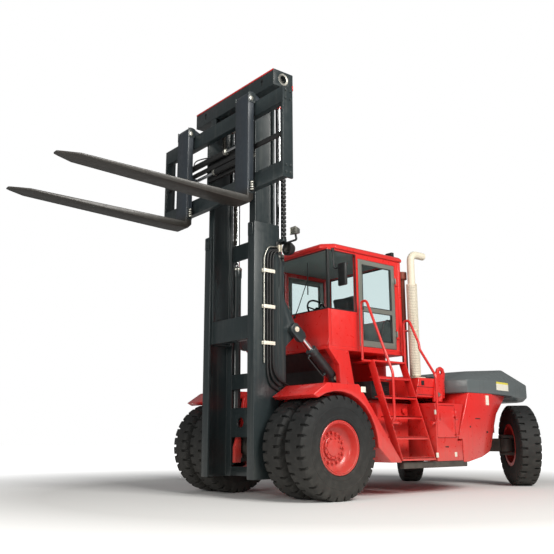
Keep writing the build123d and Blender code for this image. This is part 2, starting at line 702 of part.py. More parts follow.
def outer_mast():
    lip = MAST_HALF - OUTER_FLANGE_W
    z = (OUTER_BOTTOM, OUTER_TOP)
    column = box((MAST_REAR, MAST_FRONT), (MAST_HALF - WEB, MAST_HALF), z)
    for x in (MAST_FRONT - FLANGE, MAST_REAR):
        column += box((x, x + FLANGE), (lip, MAST_HALF), z)
    parts["outer_columns"] = both(column)
    back = (MAST_REAR, MAST_REAR + FLANGE)
    # Ties between the rear flanges: bottom, top.
    ties = [box(back, (-lip, lip), span) for span in ((270, 400), (810, 1230), (1500, 1720), (3450, 3700))]
    for y in (-240, 0, 240):
        ties[1] -= rod((back[0] - 1, y, 1020), (back[1] + 1, y, 1020), 75)
    x, pin_z = TILT_MAST_PIN
    gusset = [
        (MAST_REAR, 1500), (170, 1560), (170, 2050), (x - 70, pin_z - 60), (x - 70, pin_z + 60),
        (x + 20, pin_z + 210), (MAST_REAR, 2900),
    ]
    plates = plate_xz(gusset, (MAST_HALF - WEB + 3, MAST_HALF))
    plates += rod((x, MAST_HALF - 10, pin_z), (x, TILT_Y + 50, pin_z), TILT_PIN_R)
    lug = [
        (MAST_REAR, 420), (PIVOT_X - 30, PIVOT_Z - 85), (PIVOT_X - 85, PIVOT_Z), (PIVOT_X - 30, PIVOT_Z + 85),
        (MAST_REAR, 700),
    ]
    lug_y = (RAIL_Y + 10, RAIL_Y + 80)
    bore = rod((PIVOT_X, lug_y[0] - 1, PIVOT_Z), (PIVOT_X, lug_y[1] + 1, PIVOT_Z), PIVOT_R + FIT)
    pivot = plate_xz(lug, lug_y) - bore
    parts["outer_ties"] = Compound(children=[*ties, *both(plates).solids(), *both(pivot).solids()])
    barrel = rod((LIFT_X, LIFT_Y, LIFT_FOOT), (LIFT_X, LIFT_Y, LIFT_TOP), LIFT_BARREL_R)
    barrel += rod((LIFT_X, LIFT_Y, LIFT_TOP - 120), (LIFT_X, LIFT_Y, LIFT_TOP), LIFT_BARREL_R + 8)
    barrel -= rod((LIFT_X, LIFT_Y, LIFT_FOOT + 40), (LIFT_X, LIFT_Y, LIFT_TOP + 1), LIFT_ROD_R + FIT)
    foot_y = (LIFT_Y - LIFT_BARREL_R, LIFT_Y + LIFT_BARREL_R)
    barrel += box((LIFT_X - LIFT_BARREL_R, MAST_REAR), foot_y, (LIFT_FOOT - 50, LIFT_FOOT))
    parts["lift_barrels"] = both(barrel)


def mast_fittings():
    """Hoses with their clamps on the left column, and two lamps on a bracket behind it."""
    hose_r = 18
    clamp_t = 12
    hoses = [rod((x, MAST_HALF + 25, 1900), (x, MAST_HALF + 25, 3300), hose_r) for x in (420, 470, 520)]
    clamps = [box((395, 545), (MAST_HALF, MAST_HALF + clamp_t), (z, z + 60)) for z in (2050, 2560, 3070)]
    parts["mast_hoses"] = joined([*clamps, *hoses])
    arm = box((200, MAST_REAR + 60), (MAST_HALF, MAST_HALF + 40), (3480, 3540))
    arm += box((180, 220), (MAST_HALF, MAST_HALF + 300), (3520, 3570))
    round_lamp = rod((120, MAST_HALF + 130, 3440), (250, MAST_HALF + 130, 3440), 100)
    post = box((180, 220), (MAST_HALF + 250, MAST_HALF + 290), (3560, 3620))
    square_lamp = box((140, 260), (MAST_HALF + 200, MAST_HALF + 340), (3615, 3735))
    parts["mast_lamps"] = joined([arm, round_lamp, post, square_lamp])


def inner_mast():
    rear = MAST_REAR + FLANGE + GAP
    front = MAST_FRONT - FLANGE - GAP
    far = MAST_HALF - WEB - 2 * GAP
    near = MAST_HALF - OUTER_FLANGE_W - 4 * GAP
    middle = (near + far) / 2
    z = (INNER_BOTTOM, INNER_TOP)
    column = box((rear, front), (middle - WEB / 2, middle + WEB / 2), z)
    for x in (rear, front - FLANGE):
        column += box((x, x + FLANGE), (near, far), z)
    pad_y = MAST_HALF - WEB - FIT
    column += box((rear + 60, front - 60), (middle, pad_y), (INNER_BOTTOM + 50, INNER_BOTTOM + 200))
    parts["inner_columns"] = both(column)
    tie = box((front - 150, front), (-near, near), (INNER_BOTTOM, INNER_BOTTOM + INNER_TIE_H))
    beam_z = (INNER_TOP + HEAD_TOP) / 2
    beam_x = (rear + front) / 2
    shapes = [box((rear, front), (-HEAD_HALF, HEAD_HALF), (INNER_TOP, HEAD_TOP))]
    for side in (1, -1):
        rod_cap = pair_y(LIFT_Y - 80, LIFT_Y + 80, side)
        shapes.append(box((LIFT_X - 80, rear + 1), rod_cap, (INNER_TOP, INNER_TOP + 120)))
        for y in (CHAIN_Y - CHAIN_W, CHAIN_Y + CHAIN_W - 20):
            cheek = (SHEAVE_X - 60, SHEAVE_X + 60)
            shapes.append(box(cheek, pair_y(y, y + 20, side), (SHEAVE_Z - 60, INNER_TOP + 1)))
        axle = (side * (CHAIN_Y - 55), side * (CHAIN_Y + 55))
        shapes.append(rod((SHEAVE_X, axle[0], SHEAVE_Z), (SHEAVE_X, axle[1], SHEAVE_Z), SHEAVE_R - CHAIN_T))
    head = joined(shapes)
    for side in (1, -1):
        hole = (side * (HEAD_HALF - 90), side * (HEAD_HALF + 1))
        head -= rod((beam_x, hole[0], beam_z), (beam_x, hole[1], beam_z), HEAD_HOLE_R)
    parts["inner_ties"] = Compound(children=[tie, head])
    parts["lift_rods"] = both(rod((LIFT_X, LIFT_Y, LIFT_TOP - 390), (LIFT_X, LIFT_Y, INNER_TOP), LIFT_ROD_R))


def chain_run(x, top, bottom):
    """One straight run of leaf chain, waisted between its links."""
    links = math.ceil((top - bottom) / LINK)
    pitch = (top - bottom) / links
    left, right = [], []
    for link in range(links):
        z = bottom + link * pitch
        for height, waist in ((z, LINK_WAIST), (z + 0.25 * pitch, 0), (z + 0.75 * pitch, 0)):
            left.append((x[0] + waist, height))
            right.append((x[1] - waist, height))
    left.append((x[0] + LINK_WAIST, top))
    right.append((x[1] - LINK_WAIST, top))
    return plate_xz([*left, *reversed(right)], (CHAIN_Y - CHAIN_W / 2, CHAIN_Y + CHAIN_W / 2))


def chains():
    y = (CHAIN_Y - CHAIN_W / 2, CHAIN_Y + CHAIN_W / 2)
    inner = SHEAVE_R - CHAIN_T
    anchor_rear, anchor_front = 3700, 5150
    chain = chain_run((SHEAVE_X - SHEAVE_R, SHEAVE_X - inner), SHEAVE_Z, anchor_rear)
    chain += chain_run((SHEAVE_X + inner, SHEAVE_X + SHEAVE_R), SHEAVE_Z, anchor_front)
    upper = box((SHEAVE_X - 200, SHEAVE_X + 200), y, (SHEAVE_Z, SHEAVE_Z + 200))
    chain += ring_y(SHEAVE_X, SHEAVE_Z, SHEAVE_R, inner + FIT, y) & upper
    parts["lift_chains"] = both(chain)


def carriage():
    back = CARRIAGE_FRONT - BAR_T
    half = CARRIAGE_HALF
    shapes = [box((back, CARRIAGE_FRONT), (-half, half), bar) for bar in (UPPER_BAR, LOWER_BAR)]
    roller_x = SHEAVE_X
    waist = LOWER_BAR[1] + 80
    outline = [
        (roller_x - 75, waist), (back - 90, waist), (back, LOWER_BAR[0] + 50), (back, UPPER_BAR[0] + 100),
        (roller_x - 75, UPPER_BAR[0] + 30),
    ]
    for side in (1, -1):
        ends = pair_y(half - END_PLATE_T, half, side)
        shapes.append(box((END_PLATE_REAR, CARRIAGE_FRONT), ends, (LOWER_BAR[0], UPPER_BAR[1])))
        shapes.append(plate_xz(outline, pair_y(ROLLER_PLATE_Y - ROLLER_PLATE_T, ROLLER_PLATE_Y, side)))
        roller_y = (side * (ROLLER_PLATE_Y - 10), side * (ROLLER_PLATE_Y + ROLLER_W))
        for z in (waist + 145, UPPER_BAR[0] - 130):
            shapes.append(rod((roller_x, roller_y[0], z), (roller_x, roller_y[1], z), ROLLER_R))
    anchor = (UPPER_BAR[0] - 270, UPPER_BAR[0] - 70)
    shapes.append(box((roller_x + 60, roller_x + 160), (-ROLLER_PLATE_Y + 1, ROLLER_PLATE_Y - 1), anchor))
    parts["carriage_frame"] = joined(shapes)
    x = CARRIAGE_FRONT - BAR_T / 2
    low, high = POSITIONER_BARREL
    inside = ROLLER_PLATE_Y - ROLLER_PLATE_T
    shapes = [box((back - 60, back - 5), (-inside, inside), (POSITIONER_Z[1] - 80, POSITIONER_Z[0] + 80))]
    for (_, side), z in zip(SIDES, POSITIONER_Z):
        barrel = rod((x, side * low, z), (x, side * high, z), POSITIONER_R)
        barrel -= rod((x, side * (low + 60), z), (x, side * (high + 1), z), POSITIONER_ROD_R + FIT)
        for y in (-380, 60):
            barrel += box((back - 6, x - POSITIONER_R + 8), pair_y(y, y + 30, side), (z - 40, z + 40))
        shapes.append(barrel)
    parts["positioner_barrels"] = joined(shapes)


def forks():
    front = SHANK_REAR + FORK_T
    low = FORK_TOP_Z - FORK_T
    tip = front + FORK_LENGTH
    side_view = [
        (SHANK_REAR, low + 60), (SHANK_REAR + 60, low), (front + 200, low), (tip, FORK_TOP_Z - FORK_TIP_T),
        (tip, FORK_TOP_Z), (front, FORK_TOP_Z), (front, SHANK_TOP - 80), (front - 40, SHANK_TOP),
        (SHANK_REAR, SHANK_TOP),
    ]
    near, far = FORK_Y - FORK_W / 2, FORK_Y + FORK_W / 2
    blade_plan = [
        (SHANK_REAR - 1, near), (tip - 260, near), (tip - 60, near + 80), (tip, near + 110), (tip, far - 110),
        (tip - 60, far - 80), (tip - 260, far), (SHANK_REAR - 1, far),
    ]
    fork = plate_xz(side_view, (near, far)) & plate_xy(blade_plan, (low - 1, SHANK_TOP + 1))
    rest = UPPER_BAR[1] + FIT
    bar_back = CARRIAGE_FRONT - BAR_T - FIT
    hook_rear = bar_back - 60
    hook = [
        (SHANK_REAR + 1, rest), (bar_back, rest), (bar_back, rest - 100), (hook_rear, rest - 100),
        (hook_rear, rest + 60), (CARRIAGE_FRONT - 20, rest + 120), (SHANK_REAR + 1, rest + 110),
    ]
    hook_y = (FORK_Y - 110, FORK_Y + 110)
    fork += plate_xz(hook, hook_y)
    for pad in (UPPER_BAR, LOWER_BAR):
        fork += box((CARRIAGE_FRONT + FIT, SHANK_REAR + 1), hook_y, (pad[0] + 20, pad[1] - 20))
    x = CARRIAGE_FRONT - BAR_T / 2
    for (name, side), z in zip(SIDES, POSITIONER_Z):
        bracket = box((x - 30, SHANK_REAR + 1), (near, near + 60), (z - 30, z + 30))
        shape = fork + bracket
        parts[f"fork_{name}"] = shape if side > 0 else mirrored(shape)
        reach = (side * near, side * (near - POSITIONER_REACH))
        parts[f"positioner_rod_{name}"] = rod((x, reach[0], z), (x, reach[1], z), POSITIONER_ROD_R)


def tilt_cylinders():
    bx, bz = TILT_BASE_PIN
    mx, mz = TILT_MAST_PIN
    length = math.hypot(mx - bx, mz - bz)
    ux, uz = (mx - bx) / length, (mz - bz) / length

    def along(distance):
        return (bx + ux * distance, TILT_Y, bz + uz * distance)

    def beside(distance, across):
        return (bx + ux * distance - uz * across, bz + uz * distance + ux * across)

    # Rod head: distance past the mast pin, half width.
    head = ((90, 45), (60, 85), (-150, 85), (-210, 50))
    outline = [beside(length + d, w) for d, w in head] + [beside(length + d, -w) for d, w in reversed(head)]
    eye = (TILT_Y - 40, TILT_Y + 40)
    clear = (TILT_Y - 100, TILT_Y + 100)
    barrel = rod(along(60), along(TILT_BARREL_L), TILT_BARREL_R)
    barrel += rod(along(TILT_BARREL_L - 60), along(TILT_BARREL_L), TILT_BARREL_R + 8)
    barrel += rod((bx, eye[0], bz), (bx, eye[1], bz), TILT_EYE_R)
    barrel -= rod((bx, clear[0], bz), (bx, clear[1], bz), TILT_PIN_R + FIT)
    barrel -= rod(along(100), along(TILT_BARREL_L + 1), TILT_ROD_R + FIT)
    shaft = rod(along(length - TILT_ROD_L), along(length - 150), TILT_ROD_R)
    shaft += plate_xz(outline, eye)
    shaft -= rod((mx, clear[0], mz), (mx, clear[1], mz), TILT_PIN_R + TILT_PIN_PLAY)
    parts["tilt_barrel_left"] = barrel
    parts["tilt_barrel_right"] = mirrored(barrel)
    parts["tilt_rod_left"] = shaft
    parts["tilt_rod_right"] = mirrored(shaft)


def lamps_and_mirrors():
    x = HOOD_REAR - 640
    tail = box((x, x + 70), (BODY_HALF, BODY_HALF + 12), (FLANK_TOP - 180, FLANK_TOP - 30))
    parts["lamps"] = both(tail)
    out = CAB_HALF
    stem_z = CAB_ROOF - 340
    arm_x = (CAB_FRONT - 110, CAB_FRONT - 90)
    arm = box(arm_x, (out, out + 150), (stem_z, stem_z + 20))
    arm += box(arm_x, (out, out + 20), (stem_z, CAB_ROOF - 5))
    glass = box((CAB_FRONT - 130, CAB_FRONT - 80), (out + 110, out + 290), (stem_z - 270, stem_z + 80))
    parts["mirrors"] = both(arm + glass)


def write():
    os.makedirs("parts", exist_ok=True)
    for name, shape in parts.items():
        export_step(shape, f"parts/{name}.step")


plain_tyre = tyre()
front_wheels(plain_tyre)
drive_axle()
steer_axle(plain_tyre)
main_frame()
fenders()
side_boxes()
stairs()
hood_and_counterweight()
exhaust()
cab()
driver_place()
outer_mast()
mast_fittings()
inner_mast()
chains()
carriage()
forks()
tilt_cylinders()
lamps_and_mirrors()
write()
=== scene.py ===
"""Looks of a heavy forklift truck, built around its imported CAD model, in metres.

+X is forward, +Y is left, +Z is up, and the origin is on the ground under the drive axle.
"""

import json
import math

import bpy
from mathutils import Matrix, Vector
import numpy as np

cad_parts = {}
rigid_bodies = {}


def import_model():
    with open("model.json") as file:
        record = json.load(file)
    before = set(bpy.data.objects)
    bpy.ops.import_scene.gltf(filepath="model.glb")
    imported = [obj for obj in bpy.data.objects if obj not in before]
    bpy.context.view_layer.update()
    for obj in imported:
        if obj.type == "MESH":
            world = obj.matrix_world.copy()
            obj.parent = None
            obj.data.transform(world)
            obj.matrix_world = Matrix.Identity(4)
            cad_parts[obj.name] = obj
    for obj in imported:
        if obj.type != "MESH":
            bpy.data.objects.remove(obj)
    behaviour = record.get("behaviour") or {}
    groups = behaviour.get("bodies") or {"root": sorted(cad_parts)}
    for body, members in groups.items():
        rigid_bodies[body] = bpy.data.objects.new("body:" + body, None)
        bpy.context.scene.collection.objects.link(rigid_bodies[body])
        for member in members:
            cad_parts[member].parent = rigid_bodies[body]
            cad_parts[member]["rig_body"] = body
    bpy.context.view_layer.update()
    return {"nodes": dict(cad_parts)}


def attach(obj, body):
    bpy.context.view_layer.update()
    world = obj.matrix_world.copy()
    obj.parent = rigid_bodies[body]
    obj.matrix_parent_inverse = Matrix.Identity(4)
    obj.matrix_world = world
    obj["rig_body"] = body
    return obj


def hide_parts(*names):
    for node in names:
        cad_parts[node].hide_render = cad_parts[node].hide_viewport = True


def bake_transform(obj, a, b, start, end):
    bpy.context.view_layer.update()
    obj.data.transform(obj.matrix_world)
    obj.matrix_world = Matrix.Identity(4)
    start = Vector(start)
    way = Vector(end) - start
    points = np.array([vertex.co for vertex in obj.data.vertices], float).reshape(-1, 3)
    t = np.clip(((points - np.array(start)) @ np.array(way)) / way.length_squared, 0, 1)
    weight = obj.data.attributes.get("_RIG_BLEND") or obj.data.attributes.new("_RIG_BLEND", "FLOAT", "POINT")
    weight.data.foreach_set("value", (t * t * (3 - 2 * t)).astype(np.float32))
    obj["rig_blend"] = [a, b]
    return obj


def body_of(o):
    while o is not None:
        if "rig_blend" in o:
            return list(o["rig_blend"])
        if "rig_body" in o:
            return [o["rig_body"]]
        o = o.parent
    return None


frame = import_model()

# The photograph's camera, as fitted: a place, two angles, a small roll and a focal length in pixels.
CAMERA_AT = Vector((6.7128, 8.4699, 0.7844))
CAMERA_YAW = math.radians(230.8612)
CAMERA_PITCH = math.radians(12.5373)
CAMERA_ROLL = math.radians(-0.2014)
FOCAL_PX = 728.36
PHOTO_PX = 554
SENSOR_MM = 36.0

# Places that part.py gives, in metres.
WHEEL_Z = 0.67
TYRE_R = 0.67
TREAD_ROOT = 0.632
RIB_HALF = 0.06
RIM_HALF = 0.165
TWIN_Y = (1.34, 0.88)
REAR_X = -4.5
KINGPIN_Y = 0.95
REAR_WHEEL_Y = 1.17
STEER_ANGLE = math.radians(50)
FENDER_SIDE = 1.5
FORK_Y = 0.78
LIFT_X, LIFT_Y = 0.205, 0.52
HEAD_X, HEAD_Z = 0.5125, 5.875
CAB_X, CAB_Y = (-1.985, -0.515), (-0.785, 0.785)

# Places of the looks alone: the tread's lugs, the floor mat's top, the stairs' treads.
LUGS = 30
STEPS_PER_LUG = 4
LUG_SHARE = 0.75
SHOULDER_R = 0.6
MAT_Z = 2.108
TREAD_X, LANDING_X = (-1.905, -1.21), (-1.913, -1.202)

SIDES = (("left", 1), ("right", -1))
UP = (0, 0, 1)
# Up to this angle in degrees, faces shade as one.
CREASE = 38


def camera():
    """A camera at the photograph's viewing angle."""
    look = Vector((
        math.cos(CAMERA_YAW) * math.cos(CAMERA_PITCH),
        math.sin(CAMERA_YAW) * math.cos(CAMERA_PITCH),
        math.sin(CAMERA_PITCH),
    ))
    right = Vector((math.sin(CAMERA_YAW), -math.cos(CAMERA_YAW), 0))
    up = right.cross(look)
    turned_right = right * math.cos(CAMERA_ROLL) + up * math.sin(CAMERA_ROLL)
    turned_up = up * math.cos(CAMERA_ROLL) - right * math.sin(CAMERA_ROLL)
    bpy.ops.object.camera_add()
    seen = bpy.context.object
    axes = Matrix((turned_right, turned_up, -look)).transposed()
    seen.matrix_world = Matrix.Translation(CAMERA_AT) @ axes.to_4x4()
    seen.data.sensor_width = SENSOR_MM
    seen.data.lens = SENSOR_MM * FOCAL_PX / PHOTO_PX
    seen.data.clip_end = 200
    bpy.context.scene.camera = seen


def linear(code):
    """An sRGB hex colour as linear RGBA."""
    parts = [int(code[i:i + 2], 16) / 255 for i in (1, 3, 5)]
    return (*[c / 12.92 if c <= 0.04045 else ((c + 0.055) / 1.055) ** 2.4 for c in parts], 1)


def per(mm):
    """A pattern's scale: how many features of this size in millimetres a metre holds."""
    return 1000 / mm


def add(tree, kind, inputs, **settings):
    """A node with its settings; each input is a number, a colour or the socket that feeds it."""
    made = tree.nodes.new("ShaderNode" + kind)
    for name, value in settings.items():
        setattr(made, name, value)
    for socket, value in inputs.items():
        if isinstance(value, bpy.types.NodeSocket):
            tree.links.new(value, made.inputs[socket])
        else:
            made.inputs[socket].default_value = value
    return made


def begin(name, inputs):
    """A new material with these shader inputs: itself, its nodes, its shader and its piece's coordinates."""
    made = bpy.data.materials.new(name)
    made.use_nodes = True
    tree = made.node_tree
    shader = tree.nodes["Principled BSDF"]
    for socket, value in inputs.items():
        shader.inputs[socket].default_value = value
    return made, tree, shader, add(tree, "TexCoord", {}).outputs["Object"]


def feed(tree, shader, **sockets):
    """Links to the shader: colour, rough and bump, whichever are given."""
    names = {"colour": "Base Color", "rough": "Roughness", "bump": "Normal"}
    for key, socket in sockets.items():
        tree.links.new(socket, shader.inputs[names[key]])


def noise(tree, place, size_mm, detail):
    """A cloudy pattern with features of about this size."""
    return add(tree, "TexNoise", {"Vector": place, "Scale": per(size_mm), "Detail": detail}).outputs["Fac"]


def ramp(tree, value, low=0.0, high=1.0, start=0.0, end=1.0):
    """A value between low and high, as one between start and end."""
    limits = {"Value": value, "From Min": low, "From Max": high, "To Min": start, "To Max": end}
    return add(tree, "MapRange", limits).outputs["Result"]


def mix(tree, share, *colours):
    """A blend of two colours, each a hex code or a socket."""
    first, second = (linear(c) if isinstance(c, str) else c for c in colours)
    return add(tree, "Mix", {0: share, 6: first, 7: second}, data_type="RGBA").outputs[2]


def times(tree, a, b):
    """The product of two values."""
    return add(tree, "Math", {0: a, 1: b}, operation="MULTIPLY").outputs[0]


def relief(tree, height, strength, depth):
    """A normal that follows a pattern's height."""
    return add(tree, "Bump", {"Height": height, "Strength": strength, "Distance": depth}).outputs["Normal"]


def painted(name, colour, faded, bare, roughness, coat, dust="#9a8f80", rubbed_low=None):
    """Paint on steel: faint clouds, rain runs, road dust low down, rubbed edges, orange-peel gloss."""
    made, tree, shader, place = begin(name, {"Coat Weight": coat, "Coat Roughness": 0.12})
    tone = mix(tree, noise(tree, place, 650, 5.0), colour, faded)
    height = add(tree, "SeparateXYZ", {"Vector": place}).outputs["Z"]
    if rubbed_low:
        colour_low, z = rubbed_low
        tone = mix(tree, ramp(tree, height, z + 0.1, z - 0.02), tone, colour_low)
    # Rain runs are narrow and tall.
    tall = add(tree, "Mapping", {"Vector": place, "Scale": (per(50), per(50), per(1100))}).outputs["Vector"]
    runs = ramp(tree, noise(tree, tall, 1000, 3.0), 0.56, 0.8, end=0.22)
    stained = mix(tree, runs, tone, bare)
    # Road dust lies below 1.2 m.
    grit = noise(tree, place, 70, 8.0)
    film = times(tree, ramp(tree, height, 1.2, 0.3, end=0.42), grit)
    dusty = mix(tree, film, stained, dust)
    # An edge is where a softened normal leaves the flat one; it is rubbed in chips.
    soft = add(tree, "Bevel", {"Radius": 0.01}, samples=4).outputs["Normal"]
    flat = add(tree, "NewGeometry", {}).outputs["Normal"]
    alike = add(tree, "VectorMath", {0: soft, 1: flat}, operation="DOT_PRODUCT").outputs["Value"]
    chips = ramp(tree, noise(tree, place, 38, 6.0), 0.5, 0.66, end=0.55)
    worn = mix(tree, times(tree, ramp(tree, alike, 0.985, 0.86), chips), dusty, bare)
    sheen = ramp(tree, grit, 0.3, 0.7, roughness - 0.07, roughness + 0.1)
    # Real orange peel is about 3 mm across; it is drawn at 14 mm so that it shows from the camera.
    peel = relief(tree, noise(tree, place, 14, 2.0), 0.04, 0.004)
    feed(tree, shader, colour=worn, rough=sheen, bump=peel)
    return made


def metal(name, colour, dark, roughness, brushed_mm, strength):
    """Bare or plated steel: fine turning marks, with duller patches of oil and dust."""
    made, tree, shader, place = begin(name, {"Metallic": 1.0})
    patches = noise(tree, place, 120, 5.0)
    tone = mix(tree, ramp(tree, patches, 0.45, 0.75, end=0.6), colour, dark)
    rough = ramp(tree, patches, 0.3, 0.7, roughness * 0.7, roughness * 1.5)
    marks = relief(tree, noise(tree, place, brushed_mm, 3.0), strength, 0.002)
    feed(tree, shader, colour=tone, rough=rough, bump=marks)
    return made


def moulded(name, colour, pale, roughness, grain_mm, strength, dust=0.0):
    """Rubber or plastic from a mould: a fine grain, paler scuffs, dust near the ground."""
    made, tree, shader, place = begin(name, {})
    scuffs = noise(tree, place, 90, 7.0)
    tone = mix(tree, ramp(tree, scuffs, 0.46, 0.72, end=0.55), colour, pale)
    height = add(tree, "SeparateXYZ", {"Vector": place}).outputs["Z"]
    film = times(tree, ramp(tree, height, 1.1, 0.0, end=dust), scuffs)
    dusty = mix(tree, film, tone, "#8d8474")
    rough = ramp(tree, scuffs, start=roughness - 0.1, end=roughness + 0.1)
    grain = add(tree, "TexVoronoi", {"Vector": place, "Scale": per(grain_mm)}).outputs["Distance"]
    feed(tree, shader, colour=dusty, rough=rough, bump=relief(tree, grain, strength, 0.002))
    return made


def glass(name, tint, roughness):
    """Flat clear sheet: a pale tint, gloss and a very slight wave."""
    clear = {"Roughness": roughness, "Base Color": linear(tint), "Transmission Weight": 1.0, "IOR": 1.1}
    made, tree, shader, place = begin(name, clear)
    feed(tree, shader, bump=relief(tree, noise(tree, place, 500, 1.0), 0.03, 0.01))
    return made


# Gloss enamel sprayed on sheet steel: bright red, a little paler where it has chalked in the sun.
RED = painted("red_gloss_enamel", "#d3201f", "#dc2f29", "#6e2420", 0.32, 0.5)
# The same enamel on the wheels, duller with road dust.
WHEEL_RED = painted("wheel_red_enamel", "#cf2422", "#d63a34", "#6b2a24", 0.4, 0.3)
# Semi-gloss enamel on rolled mast steel: blue-black slate, darker and browner in patches towards its foot.
SLATE = painted("slate_mast_enamel", "#212a2d", "#2a3335", "#6d706a", 0.36, 0.25, dust="#1d2016")
# Satin enamel on the cast counterweight cover: mid grey, a coarser skin.
GREY = painted("grey_casting_enamel", "#565d5e", "#61686a", "#3b3f40", 0.38, 0.25)
# Matt enamel on forged forks: dark slate blue on the shanks, brown-black where pallets rub the blades.
FORK = painted(
    "forged_fork_enamel", "#2b323a", "#323a42", "#5b534a", 0.42, 0.15, rubbed_low=("#2a2723", 4.05))
# Printed vinyl strip along the edge of the blank plates: warning yellow.
YELLOW = painted("yellow_vinyl_film", "#e3d23a", "#e8da5a", "#b5a83a", 0.35, 0.2)
# Grey enamel on the door frames: mid grey, semi-gloss.
DOOR = painted("grey_door_enamel", "#6b6d68", "#75776f", "#4a4a46", 0.36, 0.3)
# Dull dark red-brown paint on the pipe beside the silencer.
DULL_RED_BROWN = painted("dull_red_brown_paint", "#7e3a2b", "#8a4634", "#4e2a20", 0.55, 0.0)
# Black chassis paint under the truck: flat and dusty.
CHASSIS = painted("black_chassis_paint", "#191a1b", "#222324", "#3c3a37", 0.55, 0.0)
# Heat-proof cream paint on the silencer tube: chalky.
CREAM = painted("cream_heatproof_paint", "#d9d0bb", "#e2dbc9", "#a08f72", 0.5, 0.0)
# Hard chrome on piston rods: ground, then polished.
CHROME = metal("hard_chrome", "#d8dadc", "#a4a7aa", 0.14, 30, 0.02)
# Zinc-plated bolts, clamps and pins: grey, slightly mottled.
ZINC = metal("zinc_plated_steel", "#b9b8b0", "#7d7b74", 0.35, 22, 0.05)
# Oiled chain steel: dark, with wet glints.
CHAIN = metal("oiled_chain_steel", "#5a5752", "#2a2826", 0.38, 18, 0.08)
# Tyre compound: vulcanised black rubber, greyer with dust near the ground.
TYRE = moulded("tyre_rubber", "#131516", "#282a2c", 0.74, 12, 0.1, dust=0.18)
# Hydraulic hose cover: extruded black rubber, a faint wrapped grain.
HOSE = moulded("hose_rubber", "#131415", "#2b2c2c", 0.5, 8, 0.1)
# Glass-filled black plastic: housings, seals and grips with a moulded grain.
PLASTIC = moulded("black_moulded_plastic", "#17191a", "#2a2c2d", 0.48, 7, 0.14)
# Vinyl seat cover over foam: black, soft leather-like grain.
VINYL = moulded("black_seat_vinyl", "#1b1c1e", "#303134", 0.52, 9, 0.22)
# Pressed felt on the ceiling and rear wall of the cab: pale grey, woolly.
LINING = moulded("grey_felt_lining", "#98a19f", "#a9b1ae", 0.85, 6, 0.25)
# Safety glass in the cab: a faint green tint.
GLASS = glass("tinted_safety_glass", "#e6f0f0", 0.02)
# Clear, ribbed polycarbonate over the lamps.
LENS = glass("clear_lamp_lens", "#f4f2ea", 0.12)
# Red acrylic over the tail lamps: smooth, a little cloudy.
TAIL_LENS = moulded("red_acrylic_lens", "#a51512", "#b92a24", 0.18, 20, 0.03)
# Silvered reflector and mirror glass.
MIRROR = metal("silvered_mirror", "#c9ced1", "#b4babd", 0.06, 400, 0.0)
# Baked enamel on the blank plates: plain off-white.
PLATE = painted("white_plate_enamel", "#efece0", "#e8e3d2", "#b9b2a0", 0.35, 0.2)
# The slot name for each finish, unless a piece names another.
SLOTS = {
    "red_paint": (RED, WHEEL_RED, DULL_RED_BROWN, TAIL_LENS),
    "slate_paint": (SLATE, DOOR, CHASSIS),
    "steel": (ZINC, CHAIN, PLATE),
    "guard": (CREAM, YELLOW),
    "chrome": (CHROME, MIRROR),
    "seat_cover": (VINYL, LINING),
    "glass": (GLASS, LENS),
    "grey_cap": (GREY,),
    "fork_steel": (FORK,),
    "tyre": (TYRE,),
    "rubber": (HOSE,),
    "black_plastic": (PLASTIC,),
}
SLOT_OF = {finish.name: slot for slot, finishes in SLOTS.items() for finish in finishes}


def only(*pieces):
    """Selects these pieces and nothing else."""
    bpy.ops.object.select_all(action="DESELECT")
    for piece in pieces:
        piece.select_set(True)
    bpy.context.view_layer.objects.active = pieces[0]


def leave():
    """Leaves edit mode."""
    bpy.ops.object.mode_set(mode="OBJECT")


def select_all():
    """Selects all of the piece that is being edited."""
    bpy.ops.mesh.select_all(action="SELECT")


def smooth(degrees=CREASE):
    """Shades the selected piece smooth up to an angle between its faces."""
    bpy.ops.object.shade_smooth_by_angle(angle=math.radians(degrees))


def edit(piece):
    """Opens a piece in edit mode with all of it selected."""
    only(piece)
    bpy.ops.object.mode_set(mode="EDIT")
    bpy.ops.mesh.select_mode(type="FACE")
    select_all()


def pick(piece, wanted):
    """Opens a piece in edit mode with only the faces selected whose centre and normal are wanted."""
    leave()
    edit(piece)
    leave()
    for part in (*piece.data.edges, *piece.data.vertices):
        part.select = False
    for face in piece.data.polygons:
        face.select = wanted(face.center, face.normal)
    bpy.ops.object.mode_set(mode="EDIT")


def apply(piece, kind, **settings):
    """A modifier, applied at once."""
    only(piece)
    made = piece.modifiers.new("shape", kind)
    for name, value in settings.items():
        setattr(made, name, value)
    bpy.ops.object.modifier_apply(modifier=made.name)


def soften(piece, width, segments=2, angle=30):
    """Breaks the edges of a piece and shades it smooth between its real creases."""
    apply(piece, "BEVEL", width=width, segments=segments, limit_method="ANGLE",
          angle_limit=math.radians(angle), use_clamp_overlap=False)
    only(piece)
    smooth()
    return piece


def settle(piece, name, finish, body="chassis", stands_for=(), slot=None):
    """A finished piece, or a list joined as one: at the origin, named, on its body, with its finish."""
    if isinstance(piece, list):
        piece = joined(piece)
    leave()
    only(piece)
    bpy.ops.object.transform_apply()
    piece.name = name
    piece.data.materials.clear()
    piece.data.materials.append(finish)
    slot = slot or SLOT_OF[finish.name]
    if body:
        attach(piece, body)
    if stands_for:
        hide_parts(*stands_for)
    return piece


def joined(pieces):
    """Several pieces as one mesh."""
    only(*pieces)
    if len(pieces) > 1:
        bpy.ops.object.join()
    return pieces[0]


def copy(piece, matrix):
    """A copy with its own mesh, placed by a matrix."""
    made = piece.copy()
    made.data = piece.data.copy()
    made.data.transform(matrix)
    bpy.context.collection.objects.link(made)
    if matrix.determinant() < 0:
        edit(made)
        bpy.ops.mesh.flip_normals()
        leave()
    return made


